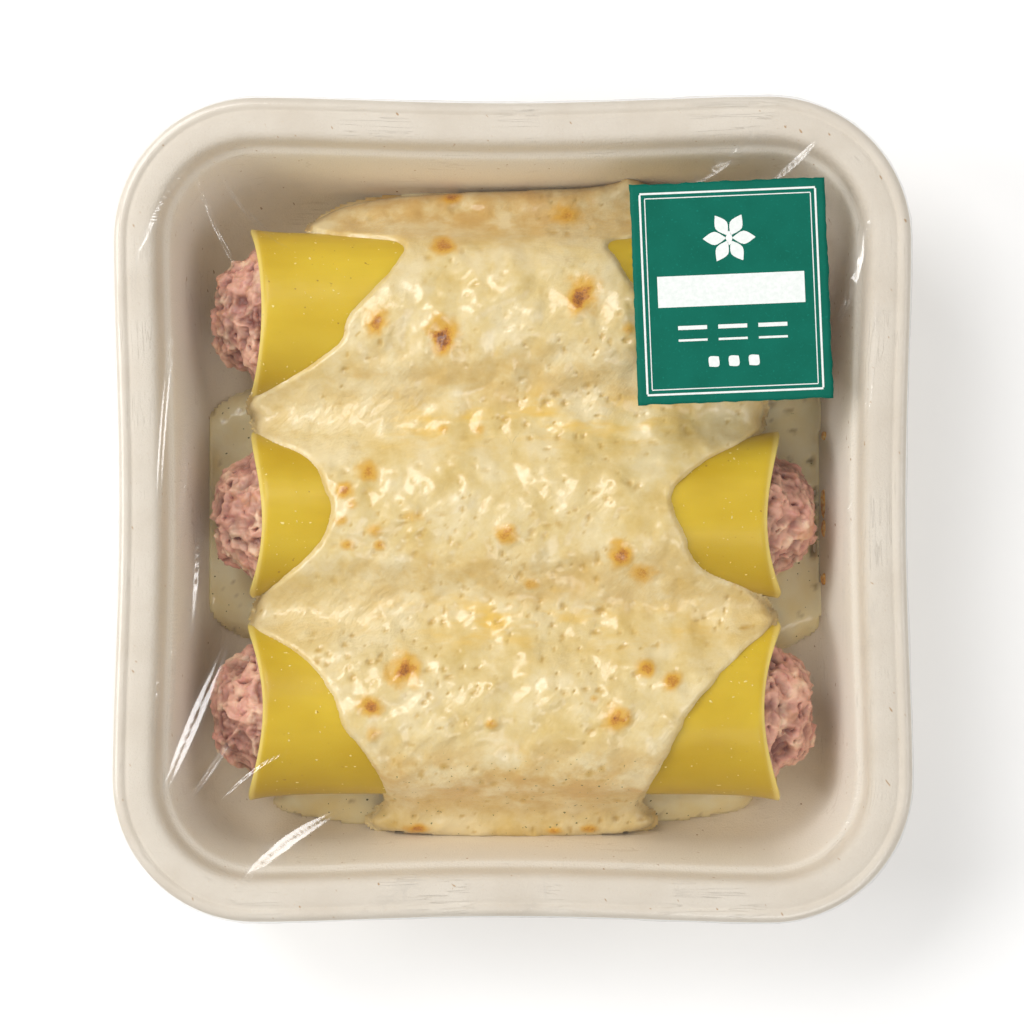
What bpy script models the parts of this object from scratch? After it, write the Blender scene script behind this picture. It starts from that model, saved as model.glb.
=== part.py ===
"""Cannelloni ready meal: three filled pasta tubes under cheese sauce in a moulded-fibre tray with a clear film.

Metres, +Z up. The origin is in the middle of the tray's underside and the pasta tubes run along X.
"""

import math
from collections import namedtuple

import bmesh
import bpy
from mathutils import Vector, noise

MM = 0.001

# Fit between neighbouring pieces
GAP = 0.3 * MM

# Tray
TRAY_HALF_X = 90.0 * MM
TRAY_HALF_Y = 93.0 * MM
TRAY_HEIGHT = 46.0 * MM
TRAY_WALL = 1.5 * MM
CORNER_RADIUS = 32.0 * MM
FLOOR_CORNER_RADIUS = 12.0 * MM
SIDE_WAIST = 1.4 * MM
CORNER_STEPS = 7
SIDE_STEPS = 5

# The tray's upper face from the hem to the floor: how far in from the outer edge, how far below the rim
HEM = ((0.6, 7.4), (0.0, 5.6), (0.0, 2.6), (0.6, 0.8))
FLANGE = ((1.8, 0.0), (3.0, 0.6), (4.1, 0.3), (7.8, 0.3))
SHOULDER = ((9.2, 1.1), (9.9, 3.0), (10.4, 5.8))
STEP = ((11.5, 7.2), (12.2, 9.4))
WALL_FOOT = ((16.8, 35.0), (18.3, 40.0), (21.0, 43.2))
FLOOR_EDGE_INSET = 25.5

# Pasta tubes
Tube = namedtuple("Tube", "centre_y width left_end right_end flare dip")
TUBES = (
    Tube(45.6 * MM, 38.2 * MM, 61.3 * MM, 62.0 * MM, 1.1 * MM, 4.2 * MM),
    Tube(-1.0 * MM, 36.6 * MM, 61.1 * MM, 62.1 * MM, 1.2 * MM, 3.8 * MM),
    Tube(-46.6 * MM, 38.8 * MM, 61.5 * MM, 62.0 * MM, 1.6 * MM, 4.4 * MM),
)
TUBE_HEIGHT = 34.6 * MM
TUBE_BOTTOM = 3.0 * MM
PASTA_THICKNESS = 1.3 * MM
TUBE_STATIONS = (-1.0, -0.92, -0.75, -0.35, 0.35, 0.75, 0.92, 1.0)
TUBE_SIDES = 24
FLARE_POWER = 10
DIP_POWER = 6

# Filling that bulges out of both ends of each tube
FILLING_NOSE = 70.6 * MM
FILLING_FIT = 0.35 * MM
NOSE_RINGS = ((0.30, 1.0), (0.60, 0.97), (0.84, 0.87), (0.97, 0.64), (1.0, 0.32))
CRAG_SIZE = 4.6 * MM
CRAG_DEPTH = 2.0 * MM

# Cheese sauce over the tubes: its left and right edges as (y, x) in millimetres
SAUCE_LEFT = (
    (80, -45), (70, -48.5), (65, -46), (61.5, -24.5), (50, -32), (38, -40), (23.5, -61), (2, -41.5),
    (-4, -42), (-24, -60), (-41, -41.5), (-60, -31), (-67, -30), (-73, -50), (-80, -50),
)
SAUCE_RIGHT = (
    (80, 45), (70, 47), (65, 45), (61.5, 22), (51, 27.5), (38, 40), (23, 58.5), (3, 36.5),
    (-4, 38), (-24, 60), (-30, 57), (-40, 44.5), (-55, 36), (-67, 30), (-73, 46), (-80, 46),
)
SAUCE_THICKNESS = 1.9 * MM
SAUCE_LIP = 0.8 * MM
SAUCE_EDGE_WIDTH = 5.0 * MM
DRAPE_START = 0.96
DRAPE_SLOPE = 3.2
STRIP_LEVEL_BACK = 19.0 * MM
STRIP_LEVEL_FRONT = 14.0 * MM
VALLEY_LEVEL = 33.0 * MM
VALLEY_FALL = 23.0 * MM
VALLEY_REACH = 60.0 * MM
VALLEY_POWER = 2.4
BLEND_WIDTH = 2.5 * MM
LUMP_SIZE = 11.0 * MM
LUMP_DEPTH = 0.45 * MM

# Thin sauce on the tray's floor
POOL_LEFT = ((80, -47), (56, -52), (36, -52), (27, -76), (-28, -76), (-34, -52), (-66, -50), (-80, -56))
POOL_RIGHT = ((80, 48), (60, 52), (38, 56), (27, 76), (-28, 76), (-34, 56), (-66, 52), (-80, 60))
POOL_LEVEL = 7.5 * MM
POOL_EDGE_LEVEL = 2.9 * MM
POOL_EDGE_WIDTH = 7.0 * MM

# Grid lines of a sauce surface: steps over each tube, shares of the way between two, steps past the last
CREST_STEPS = 10
VALLEY_SHARES = (0.22, 0.5, 0.78)
STRIP_STEPS = (1.2 * MM, 3.0 * MM, 8.0 * MM)
SHEET_HALF_Y = 80.0 * MM
SAUCE_COLUMNS = 23
POOL_ROWS = 21
POOL_COLUMNS = 13

# Clear film stretched over the rim, and its label
FILM_THICKNESS = 0.3 * MM
FILM_OUTLINE = ((-0.65, 8.4), (-0.65, 2.4), (0.1, 0.3), (1.8, -0.6), (6.0, -0.6))
LABEL_SIZE = (43.8 * MM, 49.6 * MM, 0.3 * MM)
LABEL_CENTRE = (49.3 * MM, 48.7 * MM)
LABEL_TURN = math.radians(2.3)


def clear_scene():
    """Take away whatever the file starts with."""
    for thing in list(bpy.data.objects):
        bpy.data.objects.remove(thing, do_unlink=True)


def make_collection(name):
    """Add an empty collection to the scene."""
    collection = bpy.data.collections.new(name)
    bpy.context.scene.collection.children.link(collection)
    return collection


def make_material(name, colour, roughness, metallic=0.0, alpha=1.0):
    """A Principled material with one colour."""
    material = bpy.data.materials.new(name)
    material.use_nodes = True
    shader = material.node_tree.nodes["Principled BSDF"]
    shader.inputs["Base Color"].default_value = (*colour, 1.0)
    shader.inputs["Roughness"].default_value = roughness
    shader.inputs["Metallic"].default_value = metallic
    shader.inputs["Alpha"].default_value = alpha
    return material


def add_object(name, bm, material, collection):
    """Turn a bmesh into a named, smooth-shaded object with its material."""
    mesh = bpy.data.meshes.new(name)
    bmesh.ops.recalc_face_normals(bm, faces=bm.faces)
    bm.to_mesh(mesh)
    bm.free()
    mesh.materials.append(material)
    mesh.shade_smooth()
    mesh.set_sharp_from_angle(angle=math.radians(40))
    thing = bpy.data.objects.new(name, mesh)
    collection.objects.link(thing)
    return thing


def add_cutter(name, bm, material, collection):
    """An object that only shapes others, kept out of the render."""
    cutter = add_object(name, bm, material, collection)
    cutter.hide_render = True
    cutter.display_type = "WIRE"
    return cutter


def loft(rings, close_start, close_end):
    """Join rings of equal point counts with quads, with a flat cap or none on either end."""
    bm = bmesh.new()
    loops = [[bm.verts.new(point) for point in ring] for ring in rings]
    for lower, upper in zip(loops, loops[1:]):
        count = len(lower)
        for index in range(count):
            after = (index + 1) % count
            bm.faces.new((lower[index], lower[after], upper[after], upper[index]))
    if close_start:
        bm.faces.new(loops[0])
    if close_end:
        bm.faces.new(loops[-1])
    return bm


def bow(place):
    """One at the middle of a side, falling smoothly to nothing where the corner starts."""
    return max(0.0, 1.0 - place * place) ** 2


def tray_ring(inset, height):
    """One level outline of the tray: rounded corners, and sides that pull in slightly at the middle."""
    half_x = TRAY_HALF_X - inset
    half_y = TRAY_HALF_Y - inset
    radius = max(CORNER_RADIUS - inset, FLOOR_CORNER_RADIUS)
    signs = ((1, 1), (-1, 1), (-1, -1), (1, -1))
    centres = [Vector((sx * (half_x - radius), sy * (half_y - radius))) for sx, sy in signs]
    flat = []
    for quarter, centre in enumerate(centres):
        for step in range(CORNER_STEPS + 1):
            angle = math.pi / 2 * (quarter + step / CORNER_STEPS)
            flat.append(centre + radius * Vector((math.cos(angle), math.sin(angle))))
        turn = math.pi / 2 * (quarter + 1)
        here = flat[-1].copy()
        there = centres[(quarter + 1) % 4] + radius * Vector((math.cos(turn), math.sin(turn)))
        flat.extend(here.lerp(there, step / SIDE_STEPS) for step in range(1, SIDE_STEPS))
    ring = []
    for point in flat:
        pull_x = SIDE_WAIST * bow(point.y / (half_y - radius))
        pull_y = SIDE_WAIST * bow(point.x / (half_x - radius))
        x = point.x - math.copysign(pull_x, point.x)
        y = point.y - math.copysign(pull_y, point.y)
        ring.append(Vector((x, y, height)))
    return ring


def tray_rings(profile):
    """Tray outlines at a list of (inset, drop below the rim) pairs in millimetres."""
    return [tray_ring(inset * MM, TRAY_HEIGHT - drop * MM) for inset, drop in profile]


def build_tray(material, collection):
    """The moulded-fibre tray: one skin from the hem over the flange to the floor, given its wall."""
    rings = tray_rings(HEM + FLANGE + SHOULDER + STEP + WALL_FOOT)
    rings.append(tray_ring(FLOOR_EDGE_INSET * MM, TRAY_WALL))
    tray = add_object("tray", loft(rings, False, True), material, collection)
    face_up(tray)
    add_wall(tray, TRAY_WALL, -1.0)
    return tray


def face_up(thing):
    """Turn an open skin so that its last face, the flat middle, looks up."""
    if thing.data.polygons[-1].normal.z < 0.0:
        thing.data.flip_normals()


def add_wall(thing, thickness, offset):
    """Give an open skin its thickness."""
    wall = thing.modifiers.new("wall", "SOLIDIFY")
    wall.thickness = thickness
    wall.offset = offset
    wall.use_even_offset = True


def build_cavity(material, collection):
    """The tray's inside, drawn in by the fit, which trims the sauces to the walls."""
    profile = SHOULDER + STEP + WALL_FOOT
    rings = [tray_ring(inset * MM + GAP, TRAY_HEIGHT - drop * MM + GAP) for inset, drop in profile]
    rings.append(tray_ring(FLOOR_EDGE_INSET * MM + GAP, TRAY_WALL + GAP))
    return add_cutter("tray_inside", loft(rings, True, True), material, collection)


def tube_point(tube, station, angle, grow):
    """A point of a tube's outer oval; grow moves it out of the pasta or into it."""
    end = tube.right_end if station > 0 else tube.left_end
    flare = tube.flare * abs(station) ** FLARE_POWER
    reach_y = tube.width / 2 + flare + grow
    reach_z = TUBE_HEIGHT / 2 + grow
    upward = max(0.0, math.sin(angle))
    dip = tube.dip * upward * upward * abs(station) ** DIP_POWER
    x = station * end - math.copysign(dip, station)
    y = tube.centre_y + reach_y * math.cos(angle)
    z = TUBE_BOTTOM + TUBE_HEIGHT / 2 + reach_z * math.sin(angle)
    return Vector((x, y, z))


def tube_ring(tube, station, grow):
    """One whole oval of a tube."""
    angles = (math.tau * index / TUBE_SIDES for index in range(TUBE_SIDES))
    return [tube_point(tube, station, angle, grow) for angle in angles]


def build_tube(number, tube, material, collection):
    """A pasta tube, open at both flared ends."""
    rings = [tube_ring(tube, station, 0.0) for station in TUBE_STATIONS]
    pasta = add_object(f"pasta_tube_{number}", loft(rings, False, False), material, collection)
    add_wall(pasta, PASTA_THICKNESS, -1.0)
    return pasta


def crag(point):
    """How far the coarse mince stands out or in at a point."""
    return CRAG_DEPTH * noise.noise(point / CRAG_SIZE)


def nose_rings(tube, side, grow):
    """The filling's rings from a tube's end out to its blunt, craggy nose."""
    inner = tube_ring(tube, side, -PASTA_THICKNESS - FILLING_FIT + grow)
    middle = Vector((0.0, tube.centre_y, TUBE_BOTTOM + TUBE_HEIGHT / 2))
    nose = side * (FILLING_NOSE + grow)
    rings = []
    for forward, spread in NOSE_RINGS:
        ring = []
        for point in inner:
            x = point.x + (nose - point.x) * forward
            y = middle.y + (point.y - middle.y) * spread
            z = middle.z + (point.z - middle.z) * spread
            rough = crag(Vector((x, y, z)))
            pull = 1.0 + (rough - CRAG_DEPTH) * spread * forward / (TUBE_HEIGHT / 2)
            place = Vector((x + side * rough * forward, y, z))
            place.y = middle.y + (y - middle.y) * pull
            place.z = middle.z + (z - middle.z) * pull
            ring.append(place)
        rings.append(ring)
    return rings


def build_filling(number, tube, material, collection):
    """The ham filling, one piece through the tube with a craggy nose at either end."""
    fit = -PASTA_THICKNESS - FILLING_FIT
    rings = list(reversed(nose_rings(tube, -1.0, 0.0)))
    rings.extend(tube_ring(tube, station, fit) for station in TUBE_STATIONS)
    rings.extend(nose_rings(tube, 1.0, 0.0))
    return add_object(f"filling_{number}", loft(rings, True, True), material, collection)


def build_envelope(number, tube, material, collection):
    """A tube and its filling as one closed shape, grown by the fit, which cuts the sauces clear of them."""
    rings = list(reversed(nose_rings(tube, -1.0, GAP)))
    rings.append(grown_end(tube, -1.0))
    rings.extend(tube_ring(tube, station, GAP) for station in TUBE_STATIONS[1:-1])
    rings.append(grown_end(tube, 1.0))
    rings.extend(nose_rings(tube, 1.0, GAP))
    return add_cutter(f"envelope_{number}", loft(rings, True, True), material, collection)


def grown_end(tube, side):
    """A tube's end oval, grown by the fit outwards and along the tube."""
    return [point + Vector((side * GAP, 0.0, 0.0)) for point in tube_ring(tube, side, GAP)]


def edge_at(points, y):
    """The x of an edge at y, eased between the outline's turning points; both in metres."""
    place = y / MM
    for (start_y, start_x), (end_y, end_x) in zip(points, points[1:]):
        if start_y >= place >= end_y:
            ease = (1.0 - math.cos(math.pi * (start_y - place) / (start_y - end_y))) / 2
            return (start_x + (end_x - start_x) * ease) * MM
    return points[-1][1] * MM


def tube_top(x, y):
    """Height of what carries the sauce: a tube's upper side, then a steep slope down beside it."""
    heights = [0.0]
    for tube in TUBES:
        along = min(abs(x) / tube.left_end, 1.0)
        half = tube.width / 2 + tube.flare * along ** FLARE_POWER
        away = abs(y - tube.centre_y)
        across = min(away / half, DRAPE_START)
        crest = TUBE_BOTTOM + TUBE_HEIGHT / 2 * (1.0 + math.sqrt(1.0 - across * across))
        heights.append(crest - DRAPE_SLOPE * max(0.0, away - DRAPE_START * half))
    return max(heights)


def soft_max(first, second, width):
    """The greater of two heights, rounded where they meet."""
    spread = max(width - abs(first - second), 0.0) / width
    return max(first, second) + spread * spread * width / 4


def valley_level(x):
    """Height of the sauce between two tubes, which runs down towards their ends."""
    along = min(abs(x) / VALLEY_REACH, 1.0)
    return VALLEY_LEVEL - VALLEY_FALL * along ** VALLEY_POWER


def bed_level(x, y):
    """Height of the sauce beside and between the tubes."""
    valley = valley_level(x)
    first, _, last = TUBES
    if y > first.centre_y:
        return STRIP_LEVEL_BACK
    if y < last.centre_y:
        return STRIP_LEVEL_FRONT
    return valley


def rounding(x, left, right, width):
    """Nothing at a sauce's edge, rising as a quarter circle to one inside it."""
    inward = min(x - left, right - x) / width
    inward = min(max(inward, 0.0), 1.0)
    return math.sqrt(1.0 - (1.0 - inward) ** 2)


def cheese_height(x, y, left, right):
    """Upper face of the cheese sauce."""
    lump = LUMP_DEPTH * noise.noise(Vector((x, y, 0.0)) / LUMP_SIZE)
    full = soft_max(tube_top(x, y) + SAUCE_THICKNESS, bed_level(x, y), BLEND_WIDTH) + lump
    floor = max(tube_top(x, y) + SAUCE_LIP, POOL_LEVEL + GAP + SAUCE_LIP)
    return floor + (full - floor) * rounding(x, left, right, SAUCE_EDGE_WIDTH)


def pool_height(x, y, left, right):
    """Upper face of the thin sauce on the floor."""
    return POOL_EDGE_LEVEL + (POOL_LEVEL - POOL_EDGE_LEVEL) * rounding(x, left, right, POOL_EDGE_WIDTH)


def cheese_lines():
    """The y of each grid line of the cheese sauce, closest together where it turns down beside a tube."""
    lines = [SHEET_HALF_Y]
    turn = math.asin(DRAPE_START)
    shoulders = [tube.width / 2 * DRAPE_START for tube in TUBES]
    first = TUBES[0].centre_y + shoulders[0]
    last = TUBES[-1].centre_y - shoulders[-1]
    lines.extend(first + step for step in reversed(STRIP_STEPS))
    for number, tube in enumerate(TUBES):
        for step in range(CREST_STEPS + 1):
            angle = turn - 2 * turn * step / CREST_STEPS
            lines.append(tube.centre_y + tube.width / 2 * math.sin(angle))
        if number + 1 < len(TUBES):
            start = tube.centre_y - shoulders[number]
            end = TUBES[number + 1].centre_y + shoulders[number + 1]
            lines.extend(start + (end - start) * share for share in VALLEY_SHARES)
    lines.extend(last - step for step in STRIP_STEPS)
    lines.append(-SHEET_HALF_Y)
    return lines


def even_lines(count):
    """Evenly spaced grid lines."""
    return [SHEET_HALF_Y * (1.0 - 2.0 * index / (count - 1)) for index in range(count)]


def sauce_sheet(left_edge, right_edge, height, bottom, lines, columns):
    """A closed sheet of sauce: a shaped grid on top, upright sides and a flat underside."""
    bm = bmesh.new()
    bmesh.ops.create_grid(bm, x_segments=columns - 1, y_segments=len(lines) - 1, size=1.0)
    for vert in bm.verts:
        y = lines[round((1.0 - vert.co.y) / 2 * (len(lines) - 1))]
        left = edge_at(left_edge, y)
        right = edge_at(right_edge, y)
        across = math.sin(vert.co.x * math.pi / 2)
        x = (left + right) / 2 + (right - left) / 2 * across
        vert.co = (x, y, height(x, y, left, right))
    rim = [edge for edge in bm.edges if edge.is_boundary]
    skirt = bmesh.ops.extrude_edge_only(bm, edges=rim)["geom"]
    lowered = [item for item in skirt if isinstance(item, bmesh.types.BMVert)]
    for vert in lowered:
        vert.co.z = bottom
    bmesh.ops.holes_fill(bm, edges=[edge for edge in bm.edges if edge.is_boundary])
    return bm


def trim_to_tray(sauce, cavity, envelopes):
    """Keep a sauce inside the tray's walls and clear of the tubes."""
    inside = sauce.modifiers.new("inside_tray", "BOOLEAN")
    inside.operation = "INTERSECT"
    inside.object = cavity
    clear = sauce.modifiers.new("clear_of_tubes", "BOOLEAN")
    clear.operation = "DIFFERENCE"
    clear.operand_type = "COLLECTION"
    clear.collection = envelopes


def build_sauces(material, thin_material, collection, cavity, envelopes):
    """The cheese sauce over the tubes and the thin sauce below it."""
    bottom = POOL_LEVEL + GAP
    top = sauce_sheet(SAUCE_LEFT, SAUCE_RIGHT, cheese_height, bottom, cheese_lines(), SAUCE_COLUMNS)
    cheese = add_object("cheese_sauce", top, material, collection)
    trim_to_tray(cheese, cavity, envelopes)
    lines = even_lines(POOL_ROWS)
    floor = sauce_sheet(POOL_LEFT, POOL_RIGHT, pool_height, TRAY_WALL / 2, lines, POOL_COLUMNS)
    pool = add_object("sauce_pool", floor, thin_material, collection)
    trim_to_tray(pool, cavity, envelopes)


def build_film(material, collection):
    """The clear film: flat over the rim, lapped down over its outer lip."""
    rings = tray_rings(FILM_OUTLINE)
    film = add_object("film", loft(rings, False, True), material, collection)
    face_up(film)
    add_wall(film, FILM_THICKNESS, 1.0)
    return film


def build_label(material, collection):
    """The square label on the film's far right corner."""
    bm = bmesh.new()
    bmesh.ops.create_cube(bm, size=1.0)
    bmesh.ops.scale(bm, vec=LABEL_SIZE, verts=bm.verts)
    label = add_object("label", bm, material, collection)
    film_top = TRAY_HEIGHT - FILM_OUTLINE[-1][1] * MM + FILM_THICKNESS
    label.location = (*LABEL_CENTRE, film_top + GAP + LABEL_SIZE[2] / 2)
    label.rotation_euler = (0.0, 0.0, LABEL_TURN)
    return label


def main():
    """Build the whole meal."""
    clear_scene()
    pieces = make_collection("cannelloni")
    cutters = make_collection("cutters")
    envelopes = make_collection("tube_envelopes")
    fibre = make_material("moulded_fibre", (0.78, 0.70, 0.58), 0.85)
    pasta = make_material("cooked_pasta", (0.72, 0.52, 0.08), 0.42)
    ham = make_material("minced_ham", (0.60, 0.33, 0.28), 0.55)
    cheese = make_material("cheese_sauce", (0.82, 0.72, 0.42), 0.35)
    thin_sauce = make_material("thin_sauce", (0.72, 0.62, 0.36), 0.25)
    clear = make_material("clear_film", (0.95, 0.95, 0.95), 0.05, alpha=0.12)
    paper = make_material("label_paper", (0.004, 0.16, 0.12), 0.5)
    guide = make_material("guide", (0.5, 0.5, 0.5), 1.0)
    build_tray(fibre, pieces)
    cavity = build_cavity(guide, cutters)
    for number, tube in enumerate(TUBES, start=1):
        build_tube(number, tube, pasta, pieces)
        build_filling(number, tube, ham, pieces)
        build_envelope(number, tube, guide, envelopes)
    build_sauces(cheese, thin_sauce, pieces, cavity, envelopes)
    build_film(clear, pieces)
    build_label(paper, pieces)


main()
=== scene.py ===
# %% [markdown]
# # A chilled cannelloni meal in its fibre tray
#
# This lesson dresses a plain solid model of a ready meal: three filled pasta tubes under browned cheese
# sauce, in a tray of moulded plant fibre, under a clear stretched film with a label. The solid model is
# loaded as a fixed frame. Every piece is then made again in fine detail in the same place, because
# soft food shows its character in small relief that a solid model can't carry.

# %% Load the solid model
import math

import bmesh
import bpy
import numpy as np
from mathutils import Matrix, Vector, noise


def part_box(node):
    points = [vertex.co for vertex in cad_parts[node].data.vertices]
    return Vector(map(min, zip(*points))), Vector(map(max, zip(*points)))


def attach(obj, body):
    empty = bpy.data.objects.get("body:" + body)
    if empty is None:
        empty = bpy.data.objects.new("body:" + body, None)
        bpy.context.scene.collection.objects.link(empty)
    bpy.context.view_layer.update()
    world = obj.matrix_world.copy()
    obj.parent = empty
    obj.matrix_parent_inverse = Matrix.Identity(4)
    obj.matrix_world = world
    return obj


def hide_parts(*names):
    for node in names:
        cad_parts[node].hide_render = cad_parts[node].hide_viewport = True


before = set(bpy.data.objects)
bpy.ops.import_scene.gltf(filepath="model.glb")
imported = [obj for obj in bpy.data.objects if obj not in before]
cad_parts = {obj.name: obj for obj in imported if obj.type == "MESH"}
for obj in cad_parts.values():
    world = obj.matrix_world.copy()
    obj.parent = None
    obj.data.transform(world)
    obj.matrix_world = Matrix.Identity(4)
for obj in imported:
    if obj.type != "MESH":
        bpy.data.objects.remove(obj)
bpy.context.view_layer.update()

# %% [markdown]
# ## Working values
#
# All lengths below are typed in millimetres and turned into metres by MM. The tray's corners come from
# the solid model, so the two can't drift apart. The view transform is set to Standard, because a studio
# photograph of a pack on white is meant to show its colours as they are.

MM = 0.001
tray_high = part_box("tray")[1]
HALF_X = tray_high.x / MM
HALF_Y = tray_high.y / MM
RIM = tray_high.z / MM
print(f"tray half sizes {HALF_X:.1f} and {HALF_Y:.1f} mm, rim at {RIM:.1f} mm")
bpy.context.scene.view_settings.view_transform = "Standard"

# %% [markdown]
# ## Camera
#
# The meal is seen from straight above, from about 65 cm over the rim. The upper and left walls show a
# little more than the other two, so the camera stands slightly right of and below the middle. The lens
# follows from how wide the frame is at the height of the rim.

# %% Camera
CAMERA_HEIGHT = 650.0
FRAME_WIDTH = 229.8
CAMERA_SIDE = (9.0, -12.0)
AIM = (0.1, -0.8)
SENSOR = 36.0

camera_data = bpy.data.cameras.new("camera")
camera_data.sensor_width = SENSOR
camera_data.lens = SENSOR * CAMERA_HEIGHT / FRAME_WIDTH
camera = bpy.data.objects.new("camera", camera_data)
bpy.context.collection.objects.link(camera)
camera.location = Vector((*CAMERA_SIDE, RIM + CAMERA_HEIGHT)) * MM
back = (camera.location - Vector((*AIM, RIM)) * MM).normalized()
right = Vector((0.0, 1.0, 0.0)).cross(back).normalized()
up = back.cross(right)
camera.rotation_euler = Matrix((right, up, back)).transposed().to_euler()
bpy.context.scene.camera = camera
print(f"lens {camera_data.lens:.1f} mm")

# %% [markdown]
# ## Light and floor
#
# One large soft lamp from the upper left gives the soft shadow at the lower right and leaves the upper and
# left inner walls darker. A second lamp at the left draws bright streaks on the film's creases. Two weaker
# lamps, in front and at the right, fill in the walls that face them, and a pale sky keeps the shadows open.

# %% Lamps
LAMP_AIM = Vector((0.0, 0.0, 0.02))
LAMPS = (
    ("key lamp", (-0.55, 0.58, 1.05), 0.62, 7.2),
    ("left lamp", (-0.92, 0.03, 0.72), 0.50, 4.7),
    ("front lamp", (0.34, -0.62, 1.05), 0.50, 2.5),
    ("right lamp", (0.85, -0.10, 0.75), 0.50, 1.4),
)
SKY_TONE = (1.0, 0.985, 0.96, 1.0)
SKY_STRENGTH = 0.42

for name, place, size, power in LAMPS:
    lamp_data = bpy.data.lights.new(name, "AREA")
    lamp_data.shape = "SQUARE"
    lamp_data.size = size
    lamp_data.energy = power
    lamp = bpy.data.objects.new(name, lamp_data)
    bpy.context.collection.objects.link(lamp)
    lamp.location = place
    lamp.rotation_euler = (LAMP_AIM - lamp.location).to_track_quat("-Z", "Y").to_euler()

world = bpy.data.worlds.new("pale sky")
world.use_nodes = True
bpy.context.scene.world = world
sky = world.node_tree.nodes["Background"]
sky.inputs["Color"].default_value = SKY_TONE
sky.inputs["Strength"].default_value = SKY_STRENGTH
print(len(LAMPS), "soft lamps")

# %% [markdown]
# ## Helpers for materials
#
# A finish is built from a few kinds of node again and again: a noise, a colour ramp, a mix, a bump. These
# helpers add one node each and return the socket to plug in. Patterns read Object coordinates in metres,
# so a feature of s millimetres needs a noise scale of about 1000 / s.

# %% Helpers for materials


def srgb(red, green, blue):
    """A colour given as 0 to 255 on screen, turned into the linear values that shaders use."""
    values = []
    for level in (red, green, blue):
        share = level / 255.0
        values.append(share / 12.92 if share <= 0.04045 else ((share + 0.055) / 1.055) ** 2.4)
    return (*values, 1.0)


def new_finish(name, roughness):
    """A material with a Principled shader, its tree and that shader."""
    material = bpy.data.materials.new(name)
    material.use_nodes = True
    tree = material.node_tree
    shader = tree.nodes["Principled BSDF"]
    shader.inputs["Roughness"].default_value = roughness
    shader.subsurface_method = "BURLEY"
    shader.inputs["Subsurface Scale"].default_value = 1.0
    return material, tree, shader


def let_light_in(shader, weight, reach):
    """Let some light pass under the skin; reach is how far red, green and blue go, in millimetres."""
    shader.inputs["Subsurface Weight"].default_value = weight
    shader.inputs["Subsurface Radius"].default_value = [length * MM for length in reach]


def object_place(tree, stretch=(1.0, 1.0, 1.0), turn=0.0):
    """Object coordinates for a pattern that is drawn out along each axis and turned about Z."""
    source = tree.nodes.new("ShaderNodeTexCoord")
    mapping = tree.nodes.new("ShaderNodeMapping")
    mapping.vector_type = "TEXTURE"
    mapping.inputs["Scale"].default_value = stretch
    mapping.inputs["Rotation"].default_value = (0.0, 0.0, turn)
    tree.links.new(source.outputs["Object"], mapping.inputs["Vector"])
    return mapping.outputs["Vector"]


def noise_level(tree, place, size, detail=2.0, roughness=0.5):
    """A noise from 0 to 1 whose features are about size millimetres wide."""
    node = tree.nodes.new("ShaderNodeTexNoise")
    node.inputs["Scale"].default_value = 1.0 / (size * MM)
    node.inputs["Detail"].default_value = detail
    node.inputs["Roughness"].default_value = roughness
    tree.links.new(place, node.inputs["Vector"])
    return node.outputs["Fac"]


def ramp(tree, level, stops):
    """A colour ramp; stops are (place, colour from 0 to 255)."""
    node = tree.nodes.new("ShaderNodeValToRGB")
    ends = node.color_ramp.elements
    while len(ends) < len(stops):
        ends.new(0.5)
    for end, (place, colour) in zip(ends, stops):
        end.position = place
        end.color = srgb(*colour)
    tree.links.new(level, node.inputs["Fac"])
    return node.outputs["Color"]


def step_ramp(tree, level, low, high):
    """Zero below low and one above high, easing between."""
    node = tree.nodes.new("ShaderNodeMapRange")
    node.interpolation_type = "SMOOTHSTEP"
    node.inputs["From Min"].default_value = low
    node.inputs["From Max"].default_value = high
    tree.links.new(level, node.inputs["Value"])
    return node.outputs["Result"]


def arithmetic(tree, kind, first, second):
    """One sum, product or the like of two sockets or numbers."""
    node = tree.nodes.new("ShaderNodeMath")
    node.operation = kind
    for socket, value in zip(node.inputs, (first, second)):
        if isinstance(value, float):
            socket.default_value = value
        else:
            tree.links.new(value, socket)
    return node.outputs["Value"]


def tinted(tree, tone, level, colour, share=1.0):
    """The tone with another colour laid over it, as far as level times share says."""
    node = tree.nodes.new("ShaderNodeMix")
    node.data_type = "RGBA"
    factor = next(socket for socket in node.inputs if socket.name == "Factor" and socket.type == "VALUE")
    under = next(socket for socket in node.inputs if socket.name == "A" and socket.type == "RGBA")
    over = next(socket for socket in node.inputs if socket.name == "B" and socket.type == "RGBA")
    tree.links.new(arithmetic(tree, "MULTIPLY", level, share) if share < 1.0 else level, factor)
    tree.links.new(tone, under)
    over.default_value = srgb(*colour)
    return next(socket for socket in node.outputs if socket.type == "RGBA")


# %% [markdown]
# Two more helpers join the mesh to the finish. A number painted on the points, such as how brown a blister
# is, comes in through an Attribute node. Fine relief goes out through a chain of Bump nodes, each with its
# height in millimetres.

# %% Helpers for painted numbers and fine relief


def painted(tree, name):
    """A number stored on the mesh's points."""
    node = tree.nodes.new("ShaderNodeAttribute")
    node.attribute_name = name
    return node.outputs["Fac"]


def bumps(tree, shader, levels):
    """Fine relief in the shading; levels are (socket, height in millimetres)."""
    normal = None
    for level, height in levels:
        node = tree.nodes.new("ShaderNodeBump")
        node.inputs["Strength"].default_value = 1.0
        node.inputs["Distance"].default_value = height * MM
        tree.links.new(level, node.inputs["Height"])
        if normal is not None:
            tree.links.new(normal, node.inputs["Normal"])
        normal = node.outputs["Normal"]
    tree.links.new(normal, shader.inputs["Normal"])


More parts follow.
